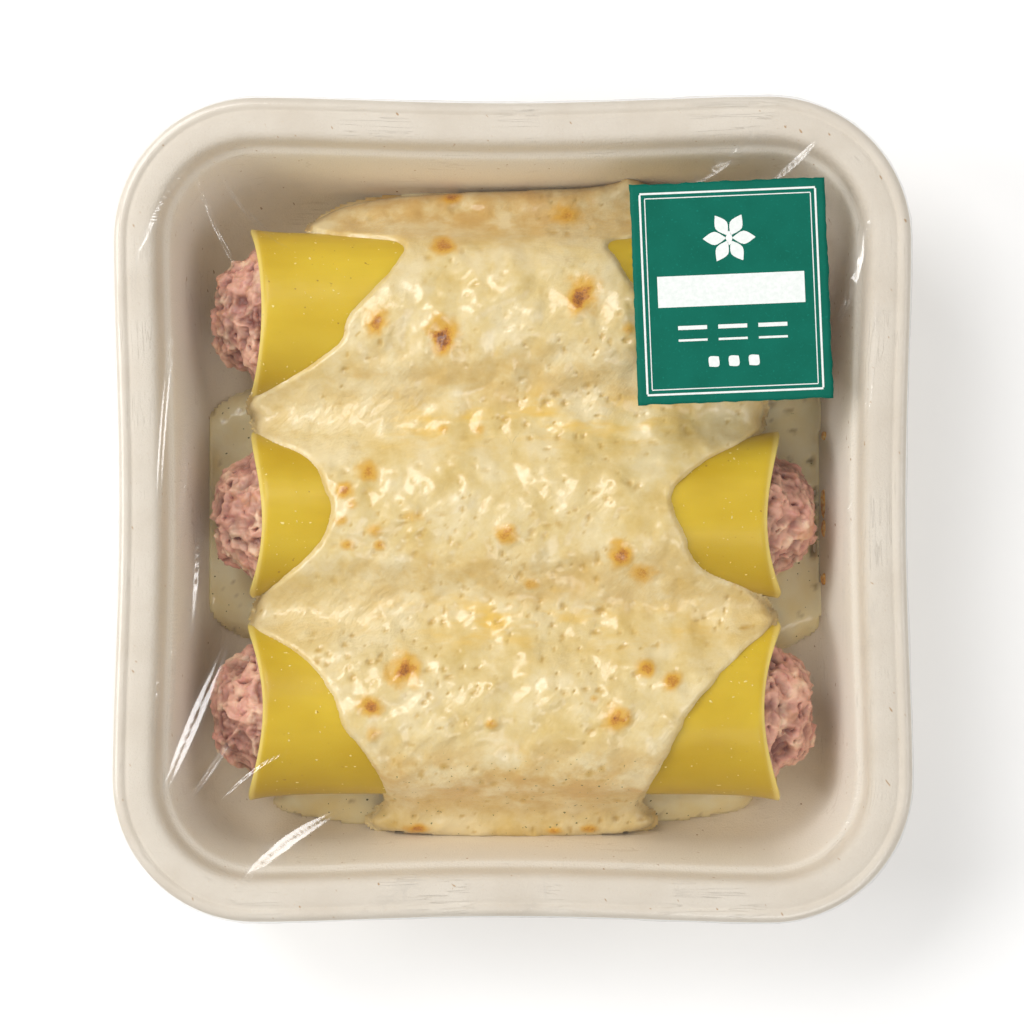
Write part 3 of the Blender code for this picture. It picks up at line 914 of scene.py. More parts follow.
def outline_loop(left, right, reach_y, wobble, seed):
    """A closed outline as points that lie close together, with a small ragged wobble."""
    y = np.linspace(reach_y, -reach_y, OUTLINE_ROWS)
    left_x = curve_through(left, y) + wobble * uneven_layers(y, y * 0.0, RAGGED_SIZE, seed)
    right_x = curve_through(right, y) + wobble * uneven_layers(y, y * 0.0 + 40.0, RAGGED_SIZE, seed + 9)
    xs = np.concatenate([left_x, right_x[::-1]])
    ys = np.concatenate([y, y[::-1]])
    length = np.concatenate([[0.0], np.cumsum(np.hypot(np.diff(xs), np.diff(ys)))])
    even = np.arange(0.0, length[-1], OUTLINE_PITCH)
    return np.interp(even, length, xs), np.interp(even, length, ys), y, left_x, right_x


def depth_inside(x, y, loop):
    """Distance in from the outline, negative outside it, and the nearest place on the outline."""
    xs, ys, rows, left_x, right_x = loop
    nearest = np.full(x.shape, 1e9)
    spot = np.zeros((len(x), 2))
    for start in range(0, len(xs), OUTLINE_BLOCK):
        block = slice(start, start + OUTLINE_BLOCK)
        away = (x[:, None] - xs[None, block]) ** 2 + (y[:, None] - ys[None, block]) ** 2
        best = away.argmin(axis=1)
        value = away[np.arange(len(x)), best]
        closer = value < nearest
        spot[closer, 0], spot[closer, 1] = xs[start + best[closer]], ys[start + best[closer]]
        nearest = np.minimum(nearest, value)
    left = np.interp(-y, -rows, left_x)
    right = np.interp(-y, -rows, right_x)
    inside = (x > left) & (x < right)
    return np.where(inside, 1.0, -1.0) * np.sqrt(nearest), spot


# %% [markdown]
# What carries the sauce is the tubes' upper side, or beside a tube a steep slope down to the thin sauce. The
# hollow between two tubes is filled to a level that runs down towards the tubes' ends, where the sauce
# leaves the hollow as a tongue.

# %% The sauce's level
POOL_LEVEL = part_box("sauce_pool")[1].z / MM
SAUCE_THICKNESS = 2.1
VALLEY_LEVEL = 32.5
VALLEY_FALL = 9.5
VALLEY_REACH = 60.0
VALLEY_ROUND = 11.0
STRIP_BACK = 18.5
STRIP_FRONT = 13.0
STRIP_FALL = 4.5
DRAPE_START = 0.96
DRAPE_SLOPE = 3.2


def carrier(x, y):
    """Height of the tubes under the sauce, and the slope beside them."""
    top = np.zeros_like(x)
    for number in range(3):
        along = np.minimum(np.abs(x) / TUBE_LEFT_ENDS[number], 1.0)
        half = TUBE_WIDTHS[number] / 2 + TUBE_FLARES[number] * along ** FLARE_POWER
        away = np.abs(y - TUBE_CENTRES[number])
        across = np.minimum(away / half, DRAPE_START)
        crest = TUBE_BOTTOM + TUBE_HEIGHT / 2 * (1.0 + np.sqrt(1.0 - across ** 2))
        top = np.maximum(top, crest - DRAPE_SLOPE * np.maximum(0.0, away - DRAPE_START * half))
    return top


def bed(x, y):
    """Level of the sauce between and beside the tubes."""
    along = np.minimum(np.abs(x) / VALLEY_REACH, 1.0)
    valley = VALLEY_LEVEL - VALLEY_FALL * along ** 2.4
    front = STRIP_FRONT - STRIP_FALL * smooth_step(26.0, 48.0, np.abs(x))
    level = np.where(y > TUBE_CENTRES[0], STRIP_BACK, valley)
    return np.where(y < TUBE_CENTRES[2], front, level)


def soft_greater(first, second, width):
    """The greater of two levels, rounded where they meet."""
    spread = np.maximum(width - np.abs(first - second), 0.0) / width
    return np.maximum(first, second) + spread ** 2 * width / 4


# %% [markdown]
# Melted cheese shows its pull: shallow ridges along the arcs in which it ran, small pits where bubbles
# burst, and broad soft swells. Each is a level of its own, and the pits are also stored for the finish,
# because a pit is darker and yellower than the skin round it.

# %% The sauce's relief
PIT_SIZE = 2.7
FLOW_LEAN = 0.35
FLOW_BEND = 0.0085


def pulled(x, y, width, seed):
    """Strands drawn out along the arcs in which the cheese ran, from -1 to 1."""
    bend = 1.6 * uneven_layers(x, y, 14.0, seed, 2)
    across = y - FLOW_LEAN * x + FLOW_BEND * x * x + bend
    return uneven_layers(across, x / 3.0, width, seed + 1, 2)


def pits(x, y, seed, share):
    """Burst bubbles, one or none in each cell of a grid: one at the middle of a pit, zero outside."""
    generator = np.random.default_rng(seed)
    jitter = generator.uniform(0.0, 1.0, (LATTICE, LATTICE, 2))
    width = 0.10 + 0.30 * generator.uniform(0.0, 1.0, (LATTICE, LATTICE)) ** 2
    stretch = generator.uniform(0.7, 1.5, (LATTICE, LATTICE))
    chance = generator.uniform(0.0, 1.0, (LATTICE, LATTICE))
    warp_x = x + 0.5 * uneven(x, y, 1.6, seed + 1)
    warp_y = y + 0.5 * uneven(x, y, 1.6, seed + 2)
    deepest = np.zeros_like(x)
    for step_x in (-1, 0, 1):
        for step_y in (-1, 0, 1):
            column = np.floor(x / PIT_SIZE).astype(int) + step_x
            line = np.floor(y / PIT_SIZE).astype(int) + step_y
            key = (line % LATTICE, column % LATTICE)
            off_x = (warp_x / PIT_SIZE - column - jitter[key][..., 0]) / (width[key] * stretch[key])
            off_y = (warp_y / PIT_SIZE - line - jitter[key][..., 1]) / (width[key] / stretch[key])
            near = np.clip(1.0 - off_x ** 2 - off_y ** 2, 0.0, 1.0)
            deepest = np.maximum(deepest, np.where(chance[key] < share, near, 0.0))
    return deepest


# %% [markdown]
# The browned spots stand where the sauce blistered against the heat. Each has a place, a width, a length
# and a strength. A blister is slightly raised with a rough top, golden round its edge and brown inside.

# %% The browned spots
GOLDEN_RIM = (0.35, 1.75)
BROWN_TOP = (0.20, 0.92)
RAGGEDNESS = 0.34
BROWN_SPOTS = (
    (-14.7, 73.9, 2.3, 1.6, 0.75), (12.6, 69.2, 3.3, 3.0, 0.55), (-15.7, 60.7, 2.6, 2.5, 0.70),
    (16.3, 48.1, 3.9, 3.9, 1.00), (-30.7, 42.8, 2.7, 2.6, 0.85), (-15.9, 39.6, 3.1, 4.0, 1.00),
    (26.4, 40.8, 1.5, 1.3, 0.55), (-33.0, 8.8, 2.2, 2.6, 0.55), (-38.0, 4.5, 2.1, 1.6, 0.70),
    (-1.3, -5.6, 2.1, 1.9, 0.55), (24.6, -10.2, 2.6, 2.7, 0.80), (29.8, -14.5, 2.8, 2.2, 0.50),
    (-24.8, -37.1, 3.3, 3.6, 0.90), (-32.1, -44.4, 2.6, 2.2, 0.85), (-31.4, -50.8, 1.5, 1.6, 0.35),
    (-4.7, -48.8, 1.3, 1.1, 0.45), (30.5, -36.0, 2.1, 1.6, 0.65), (36.0, -39.0, 2.1, 2.0, 0.60),
    (23.7, -47.6, 2.9, 2.7, 0.85), (-22.7, -74.8, 2.4, 1.1, 0.75), (9.4, -75.2, 2.0, 0.9, 0.80),
    (17.5, -74.8, 1.6, 0.8, 0.60), (-36.5, 1.0, 1.3, 1.2, 0.35), (18.5, -43.0, 1.0, 0.9, 0.30),
    (-38.7, -2.6, 1.6, 1.3, 0.40), (-31.0, -4.9, 1.6, 1.4, 0.40), (-37.6, -8.1, 1.5, 1.2, 0.50),
    (-30.0, -8.3, 1.3, 1.1, 0.50), (-22.5, -1.7, 2.6, 1.3, 0.15), (4.0, -17.2, 1.7, 1.3, 0.35),
    (-7.6, 18.5, 1.5, 1.1, 0.35), (-15.8, 18.5, 1.2, 0.9, 0.35),
)


def browning(x, y):
    """How golden and how brown the sauce is at each place, both from 0 to 1."""
    golden = np.zeros_like(x)
    brown = np.zeros_like(x)
    ragged = RAGGEDNESS * uneven_layers(x, y, 2.4, 71, 3)
    for spot_x, spot_y, wide, tall, strength in BROWN_SPOTS:
        away = np.sqrt(((x - spot_x) / wide) ** 2 + ((y - spot_y) / tall) ** 2) + ragged
        golden = np.maximum(golden, (1.0 - smooth_step(*GOLDEN_RIM, away)) * min(1.0, strength + 0.35))
        brown = np.maximum(brown, (1.0 - smooth_step(*BROWN_TOP, away)) * strength)
    return golden, brown


print(len(BROWN_SPOTS), "browned spots")

# %% [markdown]
# Now the sheet itself: a grid primitive a little larger than the sauce, lifted to the sauce's level. Points
# well outside the outline are deleted, and the points just outside dip a hair under the surface that
# carries the sauce, so its edge meets the pasta without a step.

# %% The sheet's sizes
GRID = 0.56
LIP = 1.5
LIP_WIDTH = 1.3
SLOPE_WIDTH = 4.5
TUCK = 1.3
SNAP = 0.30
LOWEST = 0.45
SOFT_REACH = 4
SHEET_LEAST = 0.2
print(f"a cell of the sauce's grid is {GRID} mm wide")

# %% [markdown]
# The sauce must never come through the tray. The tray's profile tells where its inner wall stands at any
# height, and a search upwards from the floor turns that into the height of the tray's inside at any place.

# %% The tray's inside
WALL_FROM = 18
WALL_SEARCH = 32.0
WALL_SEARCH_STEP = 0.4


def tray_inside(height):
    """How far the tray's inner wall stands from the middle, along X and along Y, at a height."""
    insets, drops = np.array(TRAY_PROFILE[WALL_FROM:]).T
    inset = np.interp(RIM - height, drops, insets)
    return HALF_X - inset, HALF_Y - inset


def wall_depth(x, y, height):
    """Distance in from the tray's inner wall at each point's height."""
    half_x, half_y = tray_inside(height)
    radius = np.maximum(CORNER - (HALF_X - half_x), FLOOR_CORNER)
    pull_x = WAIST * np.maximum(0.0, 1.0 - (y / (half_y - radius)) ** 2) ** 2
    pull_y = WAIST * np.maximum(0.0, 1.0 - (x / (half_x - radius)) ** 2) ** 2
    over_x = np.abs(x) - (half_x - pull_x - radius)
    over_y = np.abs(y) - (half_y - pull_y - radius)
    corner = np.hypot(np.maximum(over_x, 0.0), np.maximum(over_y, 0.0)) - radius
    return -np.where((over_x > 0) & (over_y > 0), corner, np.maximum(over_x, over_y) - radius)


def tray_floor(x, y):
    """Height of the tray's inside at each place."""
    lowest = np.full(np.shape(x), TRAY_FLOOR)
    for height in np.arange(TRAY_FLOOR, WALL_SEARCH, WALL_SEARCH_STEP):
        lowest = np.where(wall_depth(x, y, height) < 0.0, height, lowest)
    return lowest


print("half width between the walls 5 mm above the floor:", tray_inside(TRAY_FLOOR + 5.0)[0].round(1))

# %% [markdown]
# A grid primitive is resized to the sheet's size. Its levels can be softened by averaging each point with
# its neighbours, first along one axis and then along the other, which is how a thick liquid settles.

# %% A grid and its softening


def grid_piece(name, half_x, half_y, pitch):
    """A level grid of square cells, at the origin."""
    rest_selection()
    columns, rows = int(2 * half_x / pitch), int(2 * half_y / pitch)
    bpy.ops.mesh.primitive_grid_add(x_subdivisions=columns, y_subdivisions=rows, size=2.0)
    piece = name_new(name)
    bpy.ops.object.mode_set(mode="EDIT")
    bpy.ops.mesh.select_all(action="SELECT")
    bpy.ops.transform.resize(value=(half_x * MM, half_y * MM, 1.0), center_override=(0.0, 0.0, 0.0))
    bpy.ops.object.mode_set(mode="OBJECT")
    return piece, columns


def softened(levels, row_length):
    """The levels of a grid's points, each averaged with its neighbours a few millimetres round it."""
    sheet = levels.reshape(-1, row_length)
    count = 2 * SOFT_REACH + 1
    for axis in (0, 1, 0, 1):
        border = [(SOFT_REACH, SOFT_REACH) if axis == way else (0, 0) for way in (0, 1)]
        padded = np.pad(sheet, border, "edge")
        steps = [np.take(padded, range(step, step + sheet.shape[axis]), axis=axis) for step in range(count)]
        sheet = sum(steps) / count
    return sheet.ravel()


# %% [markdown]
# Two steps make a closed body of the sheet: what lies outside the outline is deleted, and the rest is
# extruded straight down to its underside.

# %% Cut and close a sheet


def cut_away(piece, keep):
    """Delete the points that a yes-or-no array doesn't keep, and any scrap of face left alone."""
    take(piece)
    piece.data.vertices.foreach_set("select", ~keep)
    bpy.ops.object.mode_set(mode="EDIT")
    mesh = edit_mesh(piece)
    gone = [point for point, kept in zip(mesh.verts, keep) if not kept]
    bmesh.ops.delete(mesh, geom=gone, context="VERTS")
    loose = [point for point in mesh.verts if not point.link_faces]
    bmesh.ops.delete(mesh, geom=loose, context="VERTS")
    bmesh.update_edit_mesh(piece.data)
    bpy.ops.object.mode_set(mode="OBJECT")


def close_below(piece, underside):
    """Copy the sheet downwards onto its underside and join the two round the edge."""
    take(piece)
    bpy.ops.object.mode_set(mode="EDIT")
    bpy.ops.mesh.select_all(action="SELECT")
    bpy.ops.mesh.extrude_region_move()
    mesh = edit_mesh(piece)
    copies = [point for point in mesh.verts if point.select]
    x, y, z = np.array([point.co[:] for point in copies]).T / MM
    levels = np.maximum(underside(x, y), tray_floor(x, y) - SHEET_LEAST)
    levels = np.minimum(levels, z - SHEET_LEAST)
    for point, level in zip(copies, levels):
        point.co.z = level * MM
    bmesh.update_edit_mesh(piece.data)
    bpy.ops.mesh.select_all(action="SELECT")
    bpy.ops.mesh.normals_make_consistent(inside=False)
    bpy.ops.object.mode_set(mode="OBJECT")


# %% [markdown]
# Grid points that lie close to the outline are moved onto it first, so the edge is a clean curve and not a
# row of steps. Then the sauce's broad level is worked out, from what carries it and how full the hollows
# are, and softened like a thick liquid.

# %% The sauce's broad level
SAUCE_REACH = (64.0, 80.0)
SAUCE_LEAST = 1.1

sauce_loop = outline_loop(SAUCE_LEFT, SAUCE_RIGHT, SAUCE_REACH[1], 0.50, 31)
cheese, columns = grid_piece("baked_cheese_sauce", *SAUCE_REACH, GRID)
points = read_points(cheese)
depth, nearest = depth_inside(points[:, 0], points[:, 1], sauce_loop)
close = np.abs(depth) < SNAP
points[close, :2] = nearest[close]
depth[close] = 0.0
x, y = points[:, 0], points[:, 1]
under = np.maximum(carrier(x, y), POOL_LEVEL)
base = soft_greater(under + SAUCE_THICKNESS, bed(x, y), VALLEY_ROUND)
base = np.maximum(softened(base, columns + 1), under + SAUCE_LEAST)
print(f"sauce level from {base.min():.1f} to {base.max():.1f} mm")

# %% [markdown]
# Busy patches carry strands, crumbs and pits, and the skin is calm between them. The strands are strongest
# on the tongues at the left, where the cheese was pulled out as it ran. Blisters lift the browned spots.

# %% The sauce's strands, pits and blisters
TONGUE_LINES = (21.0, -25.5)
TONGUE_WIDTH = 8.0


def beside_lines(y, width):
    """One on the two lines along which the sauce ran out of the hollows, fading off beside them."""
    return sum(np.exp(-((y - line) / width) ** 2) for line in TONGUE_LINES)


swell = 0.75 * uneven_layers(x, y, 13.0, 3, 2) + 0.42 * uneven_layers(x, y, 5.0, 8, 2)
busy = smooth_step(-0.35, 0.55, uneven_layers(x, y, 15.0, 55, 2))
left_tongues = beside_lines(y, TONGUE_WIDTH) * np.exp(-((x + 42.0) / 17.0) ** 2)
# this mask sets where the strands are strong, and also paints the tongues and busy patches paler as painted
# light
strands_and_light = np.clip(left_tongues + 0.35 * busy, 0.0, 1.0)
strands = 0.36 * pulled(x, y, 4.2, 21) + 0.40 * (0.5 - np.abs(pulled(x, y, 2.2, 27))) * strands_and_light
crumbs = 0.20 * uneven_layers(x, y, 1.7, 37, 2) * strands_and_light
golden, brown = browning(x, y)
patchy = 0.30 + 0.70 * smooth_step(-0.4, 0.4, uneven_layers(x, y, 17.0, 58, 2))
holes = pits(x, y, 5, 0.50) * patchy * (1.0 - 0.8 * golden)
blister = 0.40 * golden + 0.35 * brown * uneven_layers(x, y, 1.3, 91, 2)
full = base + swell + (strands + crumbs) * (1.0 - golden) - 0.75 * holes + blister
print(f"{np.mean(holes > 0.1):.0%} of the sheet lies in pits")

# %% [markdown]
# The lip rises steeply from the pasta, and the sauce reaches its full depth a few millimetres further in.
# Both follow a quarter of a circle, which gives the blunt edge of a thick sauce.

# %% Lift the sauce
rise_share = 1.0 - np.clip(depth / LIP_WIDTH, 0.0, 1.0)
slope_share = 1.0 - np.clip(depth / SLOPE_WIDTH, 0.0, 1.0)
rise = LIP * (1.0 + 0.25 * uneven_layers(x, y, 4.0, 63, 2)) * np.sqrt(1.0 - rise_share ** 2)
level = under + rise + np.maximum(full - under - LIP, 0.0) * np.sqrt(1.0 - slope_share ** 2)
level = np.where(depth < 0.0, under - LOWEST, np.maximum(level, under + 0.12))
level = np.minimum(level, RIM - 4.0)
points[:, 2] = level
write_points(cheese, points)

# %% [markdown]
# What the finish needs is stored on the points before the sheet is cut: browning, pits and strands, the
# herbs in the near strip, the melted fat in the hollows, painted shade on the sides that look away from the
# light, and where the tongues are painted paler as painted light.

# %% Paint, cut and close the sauce
paint(cheese, "golden", golden)
paint(cheese, "brown", brown)
paint(cheese, "pit", holes)
paint(cheese, "strands_and_light", strands_and_light)
paint(cheese, "herby", smooth_step(52.0, 62.0, -y))
paint(cheese, "melt", beside_lines(y, 6.0) * (1.0 - 0.8 * smooth_step(22.0, 50.0, np.abs(x))))
# painted shade: on each tube's side that looks away from the light, and on the back strip
sauce_shade = np.zeros_like(x)
for centre, strength in zip(TUBE_CENTRES, (0.45, 0.45, 1.0)):
    part = smooth_step(3.0, 15.0, centre - y) * (1.0 - smooth_step(18.0, 26.0, centre - y))
    sauce_shade = np.maximum(sauce_shade, part * strength)
sauce_shade = sauce_shade * (1.0 - smooth_step(30.0, 46.0, np.abs(x)))
paint(cheese, "sauce_shade", np.maximum(sauce_shade, 0.9 * smooth_step(60.0, 68.0, y)))
cut_away(cheese, (depth > -TUCK) & (wall_depth(x, y, level) > -0.3))


def sauce_underside(x, y):
    """Just inside the surface that carries the sauce."""
    return np.maximum(carrier(x, y), POOL_LEVEL) - 0.3


close_below(cheese, sauce_underside)

# %% [markdown]
# Baked white sauce with cheese is a warm cream. It turns yellower where it is thick and where fat has
# gathered, olive in its pits, golden round a blister and brown on top of it. A painted shade turns the sides
# that look away from the light tan, and a painted light makes the tongues and busy patches paler. Light goes
# a few millimetres into it, and its skin is wet, so highlights are small and sharp.

# %% Cheese sauce
CREAM_TONES = ((0.30, (219, 188, 110)), (0.48, (230, 205, 141)), (0.66, (238, 219, 170)))
SHADE_TAN_TONE, FAT_TONE, TONGUE_LIGHT_TONE, PIT_TONE = (214, 170, 92), (234, 190, 72), (238, 222, 180), (200, 160, 66)
GOLDEN, BROWN, SCORCHED, HERB_TONE = (224, 170, 44), (194, 122, 20), (124, 64, 10), (112, 108, 48)

sauce, tree, shader = new_finish("cheese sauce", 0.30)
place = object_place(tree)
clouds = noise_level(tree, place, 9.0, 4.0, 0.6)
tone = ramp(tree, clouds, CREAM_TONES)
# painted shade, tan, on the sides that look away from the light
shade_share = arithmetic(tree, "MULTIPLY", painted(tree, "sauce_shade"), step_ramp(tree, clouds, 0.66, 0.36))
tone = tinted(tree, tone, shade_share, SHADE_TAN_TONE, 0.85)
fat = noise_level(tree, object_place(tree, (3.0, 1.0, 1.0)), 4.5, 3.0)
fat_share = arithmetic(tree, "MULTIPLY", step_ramp(tree, fat, 0.44, 0.66), painted(tree, "melt"))
tone = tinted(tree, tone, fat_share, FAT_TONE, 0.85)
# painted light: the tongues and busy patches are made paler
tone = tinted(tree, tone, painted(tree, "strands_and_light"), TONGUE_LIGHT_TONE, 0.40)
tone = tinted(tree, tone, painted(tree, "pit"), PIT_TONE, 0.85)
mottle = noise_level(tree, place, 0.60, 3.0, 0.75)
toast = arithmetic(tree, "ADD", painted(tree, "golden"), arithmetic(tree, "MULTIPLY", mottle, 0.25))
tone = tinted(tree, tone, step_ramp(tree, toast, 0.10, 1.15), GOLDEN)
scorch = arithmetic(tree, "ADD", painted(tree, "brown"), arithmetic(tree, "MULTIPLY", mottle, 1.3))
tone = tinted(tree, tone, step_ramp(tree, scorch, 0.82, 1.50), BROWN)
tone = tinted(tree, tone, step_ramp(tree, scorch, 1.36, 1.80), SCORCHED)
let_light_in(shader, 0.25, (1.4, 1.1, 0.6))
shader.inputs["Specular IOR Level"].default_value = 0.55
herb = step_ramp(tree, noise_level(tree, place, 0.9, 1.0), 0.72, 0.76)
herb = arithmetic(tree, "MULTIPLY", herb, painted(tree, "herby"))
tone = tinted(tree, tone, herb, HERB_TONE)
tree.links.new(tone, shader.inputs["Base Color"])
pull = noise_level(tree, object_place(tree, (2.6, 1.0, 1.0), math.radians(50)), 1.0, 4.0, 0.6)
strong = arithmetic(tree, "MULTIPLY", pull, painted(tree, "strands_and_light"))
bumps(tree, shader, ((strong, 0.45), (pull, 0.09)))
shader.inputs["Coat Weight"].default_value = 0.65
shader.inputs["Coat Roughness"].default_value = 0.17
finish_piece(cheese, sauce, "cheese_sauce", "cheese_sauce")

# %% [markdown]
# ## The thin sauce on the floor
#
# Below the thick sauce a thinner cream lies on the tray's floor, between the tubes and out to the walls in
# places. It is a low pool with a round edge, a few burst bubbles along the right wall, and specks of herb.

# %% The pool's outline
POOL_LEFT = (
    (80, -20), (74, -40), (68, -49), (60, -52), (50, -54), (36, -55), (30, -62), (26, -71), (22, -76),
    (10, -78), (-12, -78), (-23, -76), (-28, -70), (-32, -60), (-38, -54), (-60, -54), (-66, -57),
    (-69.5, -57.5), (-72, -54), (-74.5, -42), (-76, -30), (-80, -20),
)
POOL_RIGHT = (
    (80, 48), (70, 50), (60, 53), (44, 57), (34, 66), (29, 76), (20, 78), (-18, 78), (-27, 76), (-31, 68),
    (-35, 60), (-41, 56), (-60, 54), (-66, 56.5), (-69.0, 57), (-71.5, 53), (-73.2, 45), (-74.7, 34),
    (-76, 24), (-80, 14),
)
POOL_GRID = 0.8
POOL_EDGE = 6.0
WALL_BUBBLES = (
    (71.3, 4.5, 0.6, 1.7), (71.0, 1.0, 1.0, 1.3), (71.3, -4.1, 1.1, 2.3), (71.1, -8.7, 1.1, 2.3),
    (70.6, 12.0, 0.8, 0.9),
)
BUBBLE_DEPTH = 2.4
CREEP_REACH = 3.0
CREEP_HEIGHT = 0.8

pool_loop = outline_loop(POOL_LEFT, POOL_RIGHT, 80.0, 0.6, 47)
pool = grid_piece("thin_sauce_pool", 78.0, 80.0, POOL_GRID)[0]
points = read_points(pool)
x, y = points[:, 0], points[:, 1]
depth = depth_inside(x, y, pool_loop)[0]
share = np.clip(depth / POOL_EDGE, 0.0, 1.0)
edge = np.sqrt(1.0 - (1.0 - share) ** 2)
level = TRAY_FLOOR + (POOL_LEVEL - TRAY_FLOOR) * edge + 0.25 * uneven_layers(x, y, 9.0, 61, 3) * share
creep = np.clip(1.0 - wall_depth(x, y, level) / CREEP_REACH, 0.0, 1.0)
surface = level + CREEP_HEIGHT * creep ** 2
level = surface
burst = pits(x, y, 15, 0.22)
holes = burst
for hole_x, hole_y, wide, tall in WALL_BUBBLES:
    near = np.clip(1.3 - ((x - hole_x) / wide) ** 2 - ((y - hole_y) / tall) ** 2, 0.0, 1.0)
    level = level - BUBBLE_DEPTH * near
    holes = np.maximum(holes, 1.6 * near)
points[:, 2] = np.where(depth < 0.0, TRAY_FLOOR - LOWEST, level - 0.3 * burst)
write_points(pool, points)
paint(pool, "pit", holes)
cut_away(pool, (depth > -TUCK) & (wall_depth(x, y, surface) > -0.4))
close_below(pool, tray_floor)

# %% [markdown]
# Thin cream sauce is smoother and paler than the baked one, and wetter, so its finish is a plain cream with
# a sharp gloss, specks of green herb and darker pits.

# %% Thin sauce
THIN_TONES = ((0.30, (245, 224, 160)), (0.70, (251, 240, 198)))
THIN_PIT_TONE, THIN_HERB_TONE = (150, 118, 66), (112, 104, 48)

thin, tree, shader = new_finish("thin sauce", 0.16)
place = object_place(tree)
clouds = noise_level(tree, place, 8.0, 3.0)
tone = ramp(tree, clouds, THIN_TONES)
tone = tinted(tree, tone, painted(tree, "pit"), THIN_PIT_TONE, 0.55)
herb = step_ramp(tree, noise_level(tree, place, 1.0, 1.0), 0.735, 0.77)
tone = tinted(tree, tone, herb, THIN_HERB_TONE)
tree.links.new(tone, shader.inputs["Base Color"])
let_light_in(shader, 0.3, (3.0, 2.2, 1.0))
bumps(tree, shader, ((noise_level(tree, place, 1.6, 2.0), 0.12), (herb, 0.05)))
finish_piece(pool, thin, "thin_sauce", "sauce_pool")

# %% [markdown]
# A few drips ran down the right-hand wall and baked on. Each is a small ball pressed flat against the wall
# and drawn out along it, and the drips are joined into one piece.

# %% Drips on the wall
DRIPS = ((17.9, 11.5, 1.0, 1.2), (2.0, 11.0, 3.4, 1.4), (-3.9, 11.5, 1.9, 1.2), (-16.1, 11.0, 1.5, 1.2))
DRIP_DEPTH = 0.6
DRIP_LEAN = 0.25
DRIP_TONES = ((0.35, (200, 128, 44)), (0.50, (228, 170, 76)), (0.65, (242, 208, 132)))

drips = []
for drip_y, drip_z, long, tall in DRIPS:
    rest_selection()
    bpy.ops.mesh.primitive_ico_sphere_add(subdivisions=4, radius=1.0)
    drip = name_new("drip")
    points = read_points(drip) * MM
    points *= 1.0 + 0.18 * uneven_layers(points[:, 1] + drip_y, points[:, 2], 0.9, 19, 2)[:, None]
    wall_x = tray_inside(drip_z)[0] - WAIST
    points = points * np.array([DRIP_DEPTH, long, tall]) + np.array([wall_x, drip_y, drip_z])
    points[:, 0] += DRIP_LEAN * (points[:, 2] - drip_z)
    write_points(drip, points)
    drips.append(drip)
baked_drips = joined("baked_drips", drips)
baked, tree, shader = new_finish("baked drips", 0.3)
patches = noise_level(tree, object_place(tree), 1.2, 3.0)
tone = ramp(tree, patches, DRIP_TONES)
tree.links.new(tone, shader.inputs["Base Color"])
finish_piece(baked_drips, baked, "thin_sauce")

# %% [markdown]
# ## The film
#
# The clear film is stretched over the rim and shrunk down over its hem. Stretched film is flat in the middle
# and carries long tension creases near the corners, and each crease catches a lamp as a bright streak. The
# skin is drawn from its lower hem over the rim to the middle. Faces along a crease are then divided, so
# that the crease can be a real ridge.

# %% The film's skin
FILM_PROFILE = (
    (-0.35, 8.0), (-0.42, 6.6), (-0.42, 5.0), (-0.40, 3.4), (-0.30, 2.2), (-0.05, 1.1), (0.5, 0.25),
    (1.2, -0.18), (2.0, -0.25), (3.2, -0.25),
)
FILM_RISE = 0.25
FILM_STEP = 3.1
FILM_LAST = 86.0
inward = np.arange(FILM_PROFILE[-1][0] + FILM_STEP, FILM_LAST, FILM_STEP)
film_rings = [tray_outline(inset, RIM - drop) for inset, drop in FILM_PROFILE]
film_rings += [tray_outline(float(inset), RIM + FILM_RISE) for inset in inward]
film = draw_out("stretched_film", film_rings, True)

# %% [markdown]
# A crease in stretched film is a narrow slanting band between two gentle slopes. The band is flat enough to
# mirror a whole lamp, which is why a crease shines as a streak of even width. Each one is a curve through
# three places, with the band's width and its slope; the band faces the left-hand side of the curve.

